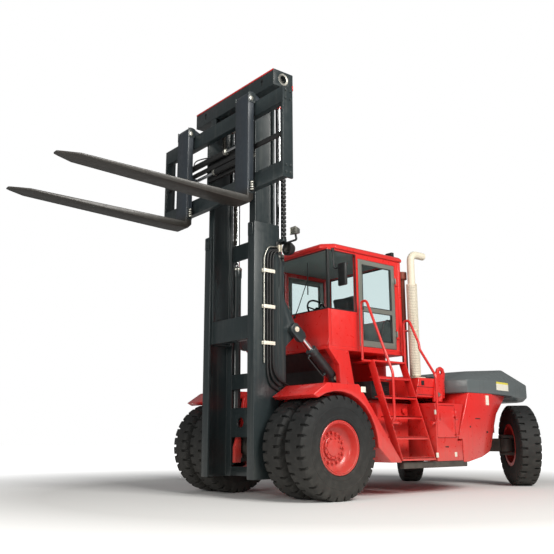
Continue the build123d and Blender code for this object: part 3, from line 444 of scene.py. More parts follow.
def drop(piece):
    """Takes away a pattern piece that has been copied."""
    bpy.data.objects.remove(piece, do_unlink=True)


moved = Matrix.Translation
MIRROR_Y = Matrix.Scale(-1, 4, (0, 1, 0))
FLIPS = {"left": Matrix.Identity(4), "right": MIRROR_Y}


def pair(*pieces):
    """Pieces and their mirror image on the other side of the truck, as one."""
    whole = joined(pieces)
    return joined([whole, copy(whole, MIRROR_Y)])


def block(x, y, z):
    """A cube stretched between the two ends given on each axis."""
    middle = [(a + b) / 2 for a, b in (x, y, z)]
    bpy.ops.mesh.primitive_cube_add(size=1, location=middle)
    made = bpy.context.object
    made.scale = [abs(b - a) for a, b in (x, y, z)]
    bpy.ops.object.transform_apply()
    return made


def near(middle, half):
    """The two ends of a stretch about its middle."""
    return middle - half, middle + half


def bar(x, y, z, edge=0.003):
    """A block with its edges broken."""
    return soften(block(x, y, z), edge)


def peg(start, end, radius, sides=24, edge=0.0):
    """A round bar from one point to another."""
    a, b = Vector(start), Vector(end)
    turn = (b - a).to_track_quat("Z", "Y")
    bpy.ops.mesh.primitive_cylinder_add(
        vertices=sides, radius=radius, depth=(b - a).length, location=(a + b) / 2, rotation=turn.to_euler())
    made = bpy.context.object
    bpy.ops.object.transform_apply()
    if edge:
        soften(made, edge)
    else:
        smooth()
    return made


def rod(x, y, z, radius, sides=24, edge=0.0):
    """A round bar along one axis: the place on that axis is a pair of ends."""
    ends = [[place[i] if isinstance(place, tuple) else place for place in (x, y, z)] for i in (0, 1)]
    return peg(*ends, radius, sides, edge)


def wire(points):
    """A chain of edges through the points, drawn from one vertex."""
    bpy.ops.mesh.primitive_plane_add(size=0.001, location=(0, 0, 0))
    made = bpy.context.object
    bpy.ops.object.mode_set(mode="EDIT")
    select_all()
    bpy.ops.mesh.merge(type="CENTER")
    bpy.ops.mesh.select_mode(type="VERT")
    select_all()
    bpy.ops.transform.translate(value=points[0])
    for a, b in zip(points, points[1:]):
        step = Vector(b) - Vector(a)
        bpy.ops.mesh.extrude_vertices_move(TRANSFORM_OT_translate={"value": step})
    return made


def spun(profile, steps, centre=(0, 0, 0), axis=(0, 1, 0), closed=False, crease=30):
    """A turned piece: points (radius, distance along the axis), spun round Y and then turned to the axis."""
    points = [(r, y, 0) for r, y in profile]
    if closed:
        points.append(points[0])
    made = wire(points)
    select_all()
    bpy.ops.mesh.spin(steps=steps, angle=2 * math.pi, center=(0, 0, 0), axis=(0, 1, 0))
    select_all()
    bpy.ops.mesh.remove_doubles(threshold=0.00005)
    bpy.ops.mesh.normals_make_consistent(inside=False)
    leave()
    turn = Vector((0, 1, 0)).rotation_difference(Vector(axis)).to_matrix().to_4x4()
    made.data.transform(moved(centre) @ turn)
    only(made)
    smooth(crease)
    return made


def piped(line, radius, sides):
    """A curve with a round section, as a mesh."""
    line.data.bevel_depth = radius
    line.data.bevel_resolution = max(sides // 4 - 1, 0)
    line.data.use_fill_caps = True
    only(line)
    bpy.ops.object.convert(target="MESH")
    return bpy.context.object


def bent_tube(points, radius, corner, sides=12):
    """A rigid round tube: a wire with its corners rounded, given a round section."""
    made = wire(points)
    select_all()
    if corner:
        bpy.ops.mesh.bevel(offset=corner, segments=6, affect="VERTICES")
    leave()
    only(made)
    bpy.ops.object.convert(target="CURVE")
    made = piped(bpy.context.object, radius, sides)
    edit(made)
    bpy.ops.mesh.remove_doubles(threshold=0.0001)
    bpy.ops.mesh.normals_make_consistent(inside=False)
    leave()
    smooth(50)
    return made


def flexible(points, radius, sides=12):
    """A hose on a smooth NURBS line through its control points."""
    bpy.ops.curve.primitive_nurbs_path_add()
    made = bpy.context.object
    made.data.splines.clear()
    line = made.data.splines.new("NURBS")
    line.points.add(len(points) - 1)
    for point, place in zip(line.points, points):
        point.co = (*place, 1)
    line.order_u = 3
    line.use_endpoint_u = True
    line.resolution_u = 8
    made = piped(made, radius, sides)
    smooth(60)
    return made


def shaped(node):
    """A copy of a CAD node with its triangles merged back into whole faces."""
    source = frame["nodes"][node]
    made = bpy.data.objects.new(f"{node}_shaped", source.data.copy())
    bpy.context.collection.objects.link(made)
    edit(made)
    bpy.ops.mesh.remove_doubles(threshold=0.00005)
    bpy.ops.mesh.dissolve_limited(angle_limit=math.radians(0.8))
    leave()
    return made


def eased(node, width, finish, slot=None):
    """A CAD node with its sharp edges broken by a width, in the node's place."""
    body = body_of(frame["nodes"][node])[0]
    settle(soften(shaped(node), width), f"{node}_eased", finish, body, (node,), slot)


# CAD nodes that keep their shape and get broken edges: by finish, each node with its edge's width.
EASED = (
    (RED, {
        "main_frame": 0.004, "fenders": 0.012, "side_boxes": 0.004, "box_door": 0.003,
        "engine_hood": 0.014, "counterweight": 0.012, "lifting_lugs": 0.005, "cab_floor": 0.004,
        "cab_front": 0.006, "cab_sides": 0.003, "cab_rear": 0.006, "cab_roof": 0.01,
    }),
    (GREY, {"counterweight_cap": 0.016}),
    (CHASSIS, {
        "tow_hitch": 0.004, "drive_axle": 0.006, "steer_axle": 0.006, "knuckle_left": 0.005,
        "knuckle_right": 0.005, "positioner_barrels": 0.003,
    }),
    (DULL_RED_BROWN, {"intake_pipe": 0.006}),
    (DOOR, {"door_left": 0.003, "door_right": 0.003}),
    (SLATE, {
        "outer_columns": 0.006, "outer_ties": 0.004, "lift_barrels": 0.004, "inner_columns": 0.006,
        "inner_ties": 0.006, "carriage_frame": 0.006, "tilt_barrel_left": 0.004,
        "tilt_barrel_right": 0.004,
    }),
    (FORK, {"fork_left": 0.008, "fork_right": 0.008}),
)
# CAD nodes that only take a finish.
PLAIN = {
    "lift_rods": CHROME, "positioner_rod_left": CHROME, "positioner_rod_right": CHROME,
    "cab_glass": GLASS, "door_glass_left": GLASS, "door_glass_right": GLASS, "lamps": PLATE,
}


def cad_finishes():
    """Finishes on the CAD nodes that keep their own shape."""
    for node, finish in PLAIN.items():
        mesh = frame["nodes"][node].data
        mesh.materials.clear()
        mesh.materials.append(finish)
    for finish, nodes in EASED:
        for node, width in nodes.items():
            eased(node, width, finish)
    eased("engine_block", 0.01, CHASSIS, "cast_iron")


def tyre():
    """One tyre about the Y axis: a spun carcass, a rib round its middle and lugs drawn out on each side."""
    half = (
        (0.356, 0.15), (0.356, 0.163), (0.374, 0.176), (0.392, 0.1765), (0.402, 0.181), (0.41, 0.181),
        (0.416, 0.178), (0.47, 0.1845), (0.51, 0.1875), (0.514, 0.1905), (0.524, 0.1905), (0.528, 0.1875),
        (0.565, 0.1865), (0.598, 0.176), (TREAD_ROOT, 0.15), (TREAD_ROOT, 0.105), (TREAD_ROOT, RIB_HALF),
    )
    made = spun([*half, *[(r, -y) for r, y in reversed(half)]], LUGS * STEPS_PER_LUG)

    def on_lug(centre, _):
        if math.hypot(centre.x, centre.z) < SHOULDER_R:
            return False
        if abs(centre.y) < RIB_HALF:
            return True
        turn = math.atan2(-centre.z, centre.x) / (2 * math.pi / LUGS)
        share = turn % 1 if centre.y > 0 else (turn + 0.5) % 1
        return share < LUG_SHARE

    pick(made, on_lug)
    bpy.ops.mesh.extrude_region()
    grow = TYRE_R / TREAD_ROOT
    bpy.ops.transform.resize(value=(grow, 1, grow), center_override=(0, 0, 0))
    leave()
    return soften(made, 0.005, segments=2, angle=42)


def hex_bolt(radius, height):
    """A hexagon head on its washer, at the origin, along Y."""
    washer = rod(0, (0, height * 0.25), 0, radius * 1.35, 16)
    head = soften(rod(0, (height * 0.2, height), 0, radius, 6), radius * 0.12)
    return joined([head, washer])


def rim(back, edge):
    """A rim about the Y axis, from y=back to y=edge: lock ring, deep dish, hub with its studs and cap."""
    plate = edge - RIM_HALF
    # The lip is measured from the rim's edge, the dish with its hub from the wheel's plate.
    lip = (
        (0.3545, -0.02), (0.349, -0.004), (0.342, 0), (0.334, -0.001), (0.331, -0.01), (0.326, -0.011),
        (0.322, -0.003), (0.314, -0.006), (0.309, -0.025),
    )
    dish = (
        (0.3, 0.075), (0.29, 0.045), (0.262, 0.018), (0.236, 0.003), (0.226, 0), (0.154, 0), (0.15, 0.004),
        (0.146, 0.026), (0.14, 0.03), (0.112, 0.03), (0.106, 0.04), (0.06, 0.052), (0.0005, 0.055),
        (0.0005, 0.006), (0.101, 0.005), (0.101, -0.04), (0.3, -0.04),
    )
    outline = [
        (0.3545, back), *[(r, edge + y) for r, y in lip], *[(r, plate + y) for r, y in dish], (0.3, back)]
    shell = spun(outline, 72, closed=True, crease=28)
    stud = hex_bolt(0.019, 0.034)
    studs = []
    # Rings of studs: how many, radius, height above the plate, size.
    for count, ring, lift, size in ((16, 0.192, 0.0, 1), (10, 0.127, 0.03, 0.6)):
        for i in range(count):
            turn = Matrix.Rotation(2 * math.pi * i / count, 4, "Y")
            studs.append(copy(stud, turn @ moved((ring, plate + lift, 0)) @ Matrix.Scale(size, 4)))
    drop(stud)
    stem = [(0.29, plate + 0.03, 0), (0.285, plate + 0.075, 0), (0.25, plate + 0.1, 0)]
    return shell, joined([*studs, bent_tube(stem, 0.007, 0.02, 8)])


def wheels():
    """The twin front wheels and the turned rear wheels."""
    rubber = tyre()
    front = rim(TWIN_Y[1] - RIM_HALF, TWIN_Y[0] + RIM_HALF)
    rear = rim(*near(REAR_WHEEL_Y, RIM_HALF))
    for side, sign in SIDES:
        flip = FLIPS[side]
        kingpin = Vector((REAR_X, sign * KINGPIN_Y, 0))
        turn = moved(kingpin) @ Matrix.Rotation(STEER_ANGLE, 4, "Z") @ moved(-kingpin)
        # Ends: name, hub, places of the tyres across, rim with its studs, words for tyre and rim.
        for end, hub, across, (shell, studs), tyres, rims in (
            ("front", flip @ moved((0, 0, WHEEL_Z)), TWIN_Y, front, "tyres", "rims"),
            ("rear", turn @ flip @ moved((REAR_X, 0, WHEEL_Z)), (REAR_WHEEL_Y,), rear, "tyre", "rim"),
        ):
            body = f"wheel_{end}_{side}"
            treads = [copy(rubber, hub @ moved((0, y, 0))) for y in across]
            settle(treads, f"{end}_{tyres}_{side}", TYRE, body, (f"{tyres}_{end}_{side}",))
            settle(copy(shell, hub), f"{end}_rim_{side}", WHEEL_RED, body, (f"{rims}_{end}_{side}",))
            settle(copy(studs, hub), f"{end}_studs_{side}", WHEEL_RED, body)
    for piece in (rubber, *front, *rear):
        drop(piece)


def chain_link(width, pitch):
    """Leaf-chain plates and their two pins, at the origin, upright, pins along Y."""
    plates = []
    for count, z in ((4, 0.0), (3, pitch / 2)):
        for i in range(count):
            y = (i - (count - 1) / 2) * width / 4
            plates.append(bar(near(0, 0.016), near(y, width / 14), near(z, pitch * 0.42), 0.004))
        plates.append(rod(0, near(0, width / 2), z, 0.008, 8))
    return joined(plates)


def lift_chains():
    """A leaf chain on each side: up from the outer mast, over the sheave, down to the carriage."""
    pitch, reach = 0.09, 0.11
    link = chain_link(0.056, pitch)
    rear, bend, front = [], [], []
    for side, sign in SIDES:
        middle = Vector((0.515, sign * 0.3, 5.6))
        for run, x, z, count in ((rear, -reach, 3.72, 21), (front, reach, 5.18, 4)):
            run += [copy(link, moved((middle.x + x, middle.y, z + i * pitch))) for i in range(count)]
        for i in range(5):
            turn = Matrix.Rotation(math.radians(i * 36 + 18), 4, "Y")
            place = moved(middle) @ turn @ moved((-reach, 0, 0))
            bend.append(copy(link, place @ Matrix.Scale(0.72, 4, (0, 0, 1))))
        groove = ((0.04, -0.045), (0.118, -0.045), (0.122, -0.036), (0.086, -0.032))
        wheel = [*groove, *[(r, -y) for r, y in reversed(groove)]]
        settle(spun(wheel, 40, middle, closed=True), f"chain_sheave_{side}", ZINC, "mast_inner")
    drop(link)
    settle(bend, "chain_over_sheaves", CHAIN, "mast_inner", ("lift_chains",))
    rear = settle(rear, "chain_rear_runs", CHAIN, None)
    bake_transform(rear, "mast_outer", "mast_inner", start=(0.4, 0, 3.72), end=(0.4, 0, 5.6))
    front = settle(front, "chain_front_runs", CHAIN, None)
    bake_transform(front, "mast_inner", "carriage", start=(0.6, 0, 5.55), end=(0.6, 0, 5.2))


def mast_dress():
    """Fittings of the outer and inner mast."""
    # Head beam: a red line along its top front edge, pale ends round the holes, and a keyhole's dark painted
    # on as shade.
    line = bar((0.686, 0.6985), (-1.008, 1.008), (5.976, 5.9995))
    corner = bar((0.326, 0.345), (0.985, 1.012), (5.752, 5.83))
    settle([line, corner], "head_red_line", RED, "mast_inner")
    profile = ((0.056, 0), (0.056, 0.006), (0.06, 0.008), (0.086, 0.008), (0.092, 0.004), (0.092, 0))
    ring = spun(profile, 40, (HEAD_X, 1.009, HEAD_Z), closed=True)
    pit = rod(HEAD_X, (0.93, 0.94), HEAD_Z, 0.056, 32)
    settle(pair(ring, pit), "head_end_rings", ZINC, "mast_inner")
    # The keyhole is not cut: a thin black disc and slot on the face are painted shade for its inside.
    hole = rod((0.69, 0.6965), 0.74, 5.905, 0.028, 24)
    slot = bar((0.69, 0.6965), near(0.74, 0.014), (5.83, 5.905), 0.002)
    settle(pair(hole, slot), "head_keyhole_shade", PLASTIC, "mast_inner")
    # Slide blocks at the top of the outer columns with their bolts, and the pins of the side rollers.
    stops = [bar((0.74, 0.752), (0.49, 0.6), (3.6, 3.78))]
    stops += [rod((0.752, 0.764), 0.545, z, 0.016, 6) for z in (3.63, 3.75)]
    stops += [rod(0.44, (0.6205, 0.632), z, 0.03, 20, 0.002) for z in (2.2, 2.75, 3.3)]
    settle(pair(*stops), "mast_slide_caps", SLATE, "mast_outer")
    # Lift cylinder glands with their bleed plugs, and the caps on the rods.
    profile = ((0.046, 0), (0.046, 0.05), (0.066, 0.05), (0.072, 0.042), (0.08, 0.03), (0.08, 0))
    gland = spun(profile, 40, (LIFT_X, LIFT_Y, 3.345), UP, closed=True)
    plug = rod(LIFT_X, (0.6, 0.62), 3.3, 0.014, 6)
    settle(pair(gland, plug), "lift_glands", ZINC, "mast_outer")
    profile = ((0.0005, 0.02), (0.05, 0.02), (0.058, 0.012), (0.058, -0.05), (0.046, -0.06))
    cap = spun(profile, 32, (LIFT_X, LIFT_Y, 5.735), UP)
    settle(pair(cap), "lift_rod_caps", RED, "mast_inner")
    # Link-guided hoses behind the left column, from the outer mast up to the head.
    link = bar(near(0, 0.03), near(0, 0.026), near(0, 0.026), 0.008)
    guides = [copy(link, moved((0.262, 0.7, 3.6 + i * 0.062))) for i in range(34)]
    drop(link)
    run = settle(guides, "hose_guide_chain", PLASTIC, None)
    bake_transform(run, "mast_outer", "mast_inner", start=(0.26, 0.70, 3.60), end=(0.26, 0.70, 5.65))
    foot = bar((0.235, 0.3), (0.615, 0.735), (3.545, 3.585), 0.004)
    settle(foot, "hose_guide_foot", SLATE, "mast_outer")
    head = bar((0.23, 0.345), (0.665, 0.735), (5.7, 5.752), 0.004)
    settle(head, "hose_guide_head", SLATE, "mast_inner")


def mast_hoses():
    """Three hydraulic hoses and a steel pipe up the left column, in pale clamps, to a block at its top."""
    hoses = []
    for x, drop_z, back in ((0.42, 1.56, 0.02), (0.47, 1.5, -0.02), (0.52, 1.44, -0.06)):
        hoses.append(flexible([
            (back, 0.585, 1.44), (back + 0.06, 0.6, drop_z - 0.05), (x - 0.12, 0.64, drop_z),
            (x, 0.646, drop_z + 0.16), (x, 0.645, 1.95), (x, 0.645, 2.6), (x, 0.645, 3.22),
            (x - 0.01, 0.646, 3.36), (x - 0.1, 0.648, 3.42), (0.3, 0.65, 3.43),
        ], 0.016))
    run = settle(hoses, "mast_hose_set", HOSE, None, ("mast_hoses",))
    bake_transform(run, "chassis", "mast_outer", start=(0.10, 0.64, 1.45), end=(0.46, 0.64, 1.75))
    path = [(0.575, 0.645, 1.8), (0.575, 0.645, 3.3), (0.5, 0.648, 3.45), (0.33, 0.648, 3.47)]
    settle(bent_tube(path, 0.011, 0.05), "mast_steel_pipe", ZINC, "mast_outer")
    clamps = []
    for z in (2.05, 2.56, 3.07):
        clamps.append(bar((0.395, 0.6), (0.655, 0.668), (z, z + 0.05), 0.004))
        clamps.append(bar((0.395, 0.6), (0.62, 0.63), (z, z + 0.05)))
        for x in (0.445, 0.495, 0.548):
            clamps.append(rod(x, (0.664, 0.674), z + 0.025, 0.009, 6))
    settle(clamps, "hose_clamps", PLATE, "mast_outer")
    ends = [bar((0.3, 0.325), (0.63, 0.67), (3.4, 3.5), 0.004)]
    ends += [rod(0.29, (0.672, 0.69), 3.408 + 0.017 * i, 0.007, 8) for i in range(6)]
    settle(ends, "hose_block", CREAM, "mast_outer")


def mast_lamps():
    """A round work lamp and a square one on their bracket."""
    path = [(0.32, 0.635, 3.51), (0.2, 0.66, 3.545), (0.2, 0.91, 3.545), (0.2, 0.89, 3.62)]
    arm = bent_tube(path, 0.016, 0.03)
    foot = bar((0.29, 0.35), (0.62, 0.64), (3.47, 3.55))
    can = spun(((0.0005, 0.12), (0.03, 0.118), (0.072, 0.095), (0.094, 0.05), (0.098, 0.01), (0.1, -0.006),
                (0.096, -0.01), (0.088, -0.008), (0.086, 0.02), (0.05, 0.055), (0.0005, 0.06)),
               40, (0.245, 0.75, 3.44), (-1, 0, 0))
    yoke = bent_tube([(0.2, 0.75, 3.535), (0.2, 0.645, 3.52), (0.2, 0.645, 3.44)], 0.01, 0.02, 8)
    settle([arm, foot, can, yoke], "mast_lamp_bodies", PLASTIC, "mast_outer", ("mast_lamps",))
    square = block((0.15, 0.255), (0.825, 0.955), (3.62, 3.732))
    pick(square, lambda c, n: n.x < -0.9)
    bpy.ops.transform.resize(value=(1, 0.6, 0.6), center_override=(0.15, 0.89, 3.676))
    pick(square, lambda c, n: n.x > 0.9)
    bpy.ops.mesh.inset(thickness=0.01, depth=-0.008)
    leave()
    settle(soften(square, 0.006), "square_lamp_body", ZINC, "mast_outer")
    lenses = [
        spun(((0.0005, 0.004), (0.05, 0.001), (0.087, -0.006)), 32, (0.243, 0.75, 3.44), (1, 0, 0)),
        bar((0.244, 0.251), (0.836, 0.944), (3.63, 3.722), 0.002),
    ]
    settle(lenses, "mast_lamp_lenses", LENS, "mast_outer")


def slab(points, across):
    """A flat outline of points, filled and drawn out along a direction."""
    made = wire([*points, points[0]])
    select_all()
    bpy.ops.mesh.remove_doubles(threshold=0.0001)
    bpy.ops.mesh.edge_face_add()
    bpy.ops.mesh.select_mode(type="FACE")
    select_all()
    bpy.ops.mesh.extrude_region_move(TRANSFORM_OT_translate={"value": across})
    select_all()
    bpy.ops.mesh.normals_make_consistent(inside=False)
    leave()
    return made


def sheet(corner, along, up, depth):
    """A flat plate from a corner along two edges, with a thickness."""
    a, u, v = Vector(corner), Vector(along), Vector(up)
    return slab([a, a + u, a + u + v, a + v], u.cross(v).normalized() * depth)


def window_seal(corner, along, up, width, depth):
    """A rubber frame: a sheet whose two faces are inset and bridged, so that it opens."""
    made = sheet(corner, along, up, depth)
    facing = Vector(along).cross(Vector(up)).normalized()
    pick(made, lambda c, n: abs(n.dot(facing)) > 0.9)
    bpy.ops.mesh.inset(thickness=width, depth=0)
    bpy.ops.mesh.bridge_edge_loops()
    leave()
    return soften(made, min(width, abs(depth)) * 0.3)


def tilt_cylinders():
    """Rod heads, chromed shafts, glands, ports and pin caps of the two tilt cylinders."""
    base, pin = Vector((-0.7, 0, 1.65)), Vector((0.04, 0, 2.3))
    axis = (pin - base).normalized()
    side = Vector((-axis.z, 0, axis.x))
    length = (pin - base).length
    y = 0.665

    def at(distance, out=0.0, across=0.0):
        return base + axis * distance + side * across + Vector((0, y + out, 0))

    head = ((0.085, 0.03), (0.07, 0.062), (0.045, 0.082), (-0.15, 0.083), (-0.205, 0.052))
    head = [*head, *[(d, -w) for d, w in reversed(head)]]
    outline = [at(length + d, -0.038, w) for d, w in head]
    fork = soften(slab(outline, (0, 0.076, 0)), 0.008)
    cheeks = [peg(at(length, s * 0.036), at(length, s * 0.046), 0.062, 32, 0.002) for s in (1, -1)]
    heads = joined([fork, *cheeks])
    shaft = peg(at(length - 0.62), at(length - 0.19), 0.0415, 40)
    wiper = peg(at(0.572), at(0.592), 0.084, 40, 0.004)
    ring = peg(at(0.5), at(0.53), 0.081, 40, 0.003)
    ports = [peg(at(d, 0.0, -0.07), at(d, 0.0, -0.105), 0.022, 6, 0.002) for d in (0.17, 0.545)]
    path = ((0.545, -0.1), (0.545, -0.13), (0.17, -0.13), (0.17, -0.1))
    pipe = bent_tube([at(d, 0, w) for d, w in path], 0.01, 0.02)
    glands = joined([wiper, ring, *ports, pipe])
    caps = []
    for distance in (length, 0.0):
        caps.append(peg(at(distance, 0.046), at(distance, 0.06), 0.038, 28, 0.003))
        caps.append(peg(at(distance, 0.058), at(distance, 0.068), 0.016, 6, 0.001))
    # Pieces: itself, name, finish, body, whether it stands for the body's CAD node.
    for piece, name, finish, body, stands in (
        (heads, "tilt_rod_head", SLATE, "tilt_rod", True),
        (shaft, "tilt_rod_shaft", CHROME, "tilt_rod", True),
        (glands, "tilt_gland", SLATE, "tilt_barrel", False),
    ):
        for word, flip in FLIPS.items():
            ends = f"{body}_{word}"
            settle(copy(piece, flip), f"{name}_{word}", finish, ends, (ends,) if stands else ())
        drop(piece)
    settle(pair(*caps), "tilt_pin_caps", CREAM, slot="steel")


def carriage_dress():
    """Fork pins and shoes, positioner glands and hoses, a guide bar and end-plate bolts."""
    for side, sign in SIDES:
        pins, shoes = [], []
        for out in (1, -1):
            y = sign * FORK_Y + out * 0.15
            pins.append(rod(1.035, (y - 0.004 * out, y + 0.016 * out), 5.452, 0.034, 28, 0.004))
            for i in range(4):
                z = 4.09 + 0.034 * i
                pins.append(rod(1.03, y + 0.022 * out, (z, z + 0.024), 0.03, 20, 0.004))
            shoes.append(bar((0.96, 1.084), (y - 0.003 * out, y + 0.008 * out), (5.395, 5.545)))
            for z in (4.06, 4.225):
                shoes.append(bar((0.985, 1.075), (y - 0.003 * out, y + 0.01 * out), (z, z + 0.015)))
        settle(pins, f"fork_pins_{side}", ZINC, f"fork_{side}")
        settle(shoes, f"fork_shoes_{side}", SLATE, f"fork_{side}")
    rail = bar((0.862, 0.892), near(0, 1.49), (4.775, 4.845), 0.006)
    stops = pair(bar((0.855, 0.9), (1.462, 1.49), (4.75, 4.87), 0.004))
    settle([rail, stops], "fork_guide_bar", CHASSIS, "carriage")
    bolt = hex_bolt(0.017, 0.016)
    places = [(x, 1.5248, z) for x in (0.82, 0.9) for z in (4.22, 4.32, 5.27, 5.39)]
    bolts = [copy(bolt, moved(place)) for place in places]
    drop(bolt)
    settle(pair(*bolts), "end_plate_bolts", SLATE, "carriage")
    glands, hoses = [], []
    path = ((0.9, -0.73, 0.045), (0.9, -0.73, 0.11), (0.86, -0.6, 0.13),
            (0.83, -0.4, 0.1), (0.81, -0.3, 0.04), (0.8, -0.28, -0.02))
    for sign, z in ((1, 4.93), (-1, 4.7)):
        glands.append(rod(0.9, (sign * 0.115, sign * 0.165), z, 0.049, 32, 0.004))
        glands.append(rod(0.9, (sign * -0.8, sign * -0.765), z, 0.049, 32, 0.004))
        hoses.append(flexible([(x, sign * y, z + high) for x, y, high in path], 0.01, 8))
    settle(glands, "positioner_glands", ZINC, "carriage")
    settle(hoses, "positioner_hoses", HOSE, "carriage")


def mirrors():
    """Two mirrors in rounded housings, on tube arms from the cab roof."""
    shell = soften(block((-0.58, -0.53), (0.965, 1.135), (2.955, 3.295)), 0.022, 3)
    path = ((0.862, 3.55), (0.872, 3.235), (1.05, 3.23), (1.05, 3.28))
    arm = bent_tube([(-0.55, y, z) for y, z in path], 0.011, 0.04)
    foot = bar((-0.575, -0.525), (0.85, 0.866), (3.5, 3.556))
    settle(pair(shell, arm, foot), "mirror_housings", PLASTIC, stands_for=("mirrors",))
    face = bar((-0.5825, -0.578), (0.978, 1.122), (2.97, 3.28), 0.0015)
    settle(pair(face), "mirror_glass", MIRROR)


def cab_dress():
    """Seals, wiper, grab bars, handles, roof fittings and lining."""
    seals = [
        window_seal((-0.452, -0.826, 2.638), (0, 1.652, 0), (0, 0, 0.893), 0.016, 0.006),
        window_seal((-2.054, -0.786, 2.636), (0, 1.572, 0), (0, 0, 0.898), 0.02, 0.006),
    ]
    quarter = window_seal((-1.032, 0.846, 2.638), (0.56, 0, 0), (0, 0, 0.893), 0.014, -0.008)
    corner = bar((-0.477, -0.4475), (0.8235, 0.8525), (2.64, 3.53), 0.005)
    seals.append(pair(quarter, corner))
    settle(seals, "window_seals", PLASTIC, slot="rubber")
    for side, flip in FLIPS.items():
        rims = [window_seal((-1.816, 0.846, z), (0.648, 0, 0), (0, 0, h), 0.012, -0.007)
                for z, h in ((2.228, 0.444), (2.738, 0.664))]
        path = ((-1.8, 2.26), (-1.8, 2.56), (-1.72, 2.6), (-1.62, 2.54), (-1.56, 2.3))
        bow = bent_tube([(x, 0.842, z) for x, z in path], 0.011, 0.06)
        grip = bar((-1.15, -1.12), (0.878, 0.886), (2.685, 2.73), 0.004)
        black = joined([*rims, bow, grip])
        settle(copy(black, flip), f"door_seals_{side}", PLASTIC, f"door_{side}", slot="rubber")
        drop(black)
    wiper = [
        bent_tube([(-0.438, 0.1, 2.6), (-0.436, 0.18, 2.7), (-0.438, 0.42, 3.14)], 0.007, 0.02, 8),
        bar((-0.446, -0.436), (0.405, 0.425), (2.9, 3.4)),
        rod((-0.45, -0.43), 0.1, 2.6, 0.022, 20, 0.003),
    ]
    settle(wiper, "windscreen_wiper", PLASTIC)
    hatch = [bar((-1.9, -1.3), near(y, 0.004), (3.655, 3.68), 0.002) for y in (-0.3, -0.1, 0.1, 0.3)]
    hatch.append(pair(rod(-1.26, near(0.25, 0.05), 3.655, 0.014, 16, 0.002)))
    settle(hatch, "roof_hatch_ribs", RED)
    lamp = [bar((-2.04, -1.98), (0.6, 0.74), (3.655, 3.745), 0.01),
            bent_tube([(-2.01, 0.67, 3.64), (-2.01, 0.67, 3.67)], 0.014, 0.0, 8)]
    settle(lamp, "rear_work_lamp", PLASTIC)
    lining = bar(CAB_X, CAB_Y, (3.54, 3.559), 0.004)
    trim = bar((-1.989, -1.975), CAB_Y, (MAT_Z, 2.63))
    settle([lining, trim], "cab_lining", LINING)
    mat = bar(CAB_X, CAB_Y, (2.101, MAT_Z))
    settle(mat, "floor_mat", HOSE)


# The seat's pads: cloth pressure, frames it runs, furthest swelling, and a sewn line's depth and width.
PRESSURE, FRAMES = 4, 20
SWELL, SEAM_DEPTH, SEAM_WIDTH = 0.024, 0.012, 0.01


def inflated(piece, limit):
    """Swells a remeshed pad by a cloth simulation, scaled so that no point moves further than the limit."""
    scene = bpy.context.scene
    start = [vertex.co.copy() for vertex in piece.data.vertices]
    cloth = piece.modifiers.new("stuffing", "CLOTH")
    cloth.settings.use_pressure = True
    cloth.settings.uniform_pressure_force = PRESSURE
    cloth.settings.effector_weights.gravity = 0
    for step in range(1, FRAMES + 1):
        scene.frame_set(step)
    swollen = piece.evaluated_get(bpy.context.evaluated_depsgraph_get()).data
    moves = [after.co - before for after, before in zip(swollen.vertices, start)]
    piece.modifiers.remove(cloth)
    share = min(1.0, limit / max(move.length for move in moves))
    for vertex, before, move in zip(piece.data.vertices, start, moves):
        vertex.co = before + move * share
    scene.frame_set(1)
    return piece


def pad(size, place, lean, channels):
    """A crowned pad: a softened block, remeshed, swollen, with sewn channels pressed into its face."""
    x, y, z = size
    made = soften(block(near(0, x / 2), near(0, y / 2), near(0, z / 2)), min(size) * 0.3, 3)
    apply(made, "REMESH", mode="VOXEL", voxel_size=0.009)
    inflated(made, SWELL)
    for vertex in made.data.vertices:
        for line in channels:
            if vertex.co.z > 0:
                vertex.co.z -= SEAM_DEPTH * math.exp(-((vertex.co.y - line) / SEAM_WIDTH) ** 2)
    apply(made, "SUBSURF", levels=1, render_levels=1)
    made.data.transform(moved(place) @ Matrix.Rotation(lean, 4, "Y"))
    only(made)
    bpy.ops.object.shade_smooth()
    return made


def seat():
    """The driver's seat: two sewn pads, arm rests and a suspension box."""
    cushion = pad((0.44, 0.48, 0.12), (-1.415, 0, 2.405), math.radians(-4), near(0, 0.14))
    settle(cushion, "seat_cushion", VINYL, stands_for=("seat",))
    back = pad((0.58, 0.46, 0.1), (-1.65, 0, 2.775), math.radians(101), near(0, 0.13))
    settle(back, "seat_back", VINYL, stands_for=("seat",))
    box = [
        bar((-1.6, -1.24), near(0, 0.2), (MAT_Z, 2.16), 0.008),
        bar((-1.58, -1.26), near(0, 0.18), (2.16, 2.3), 0.02),
        bar((-1.62, -1.22), near(0, 0.22), (2.3, 2.345), 0.012),
        pair(soften(block((-1.62, -1.32), (0.252, 0.3), (2.6, 2.65)), 0.015, 3),
             bar((-1.63, -1.59), (0.245, 0.27), (2.4, 2.62), 0.006)),
    ]
    settle(box, "seat_frame", PLASTIC, stands_for=("seat",))


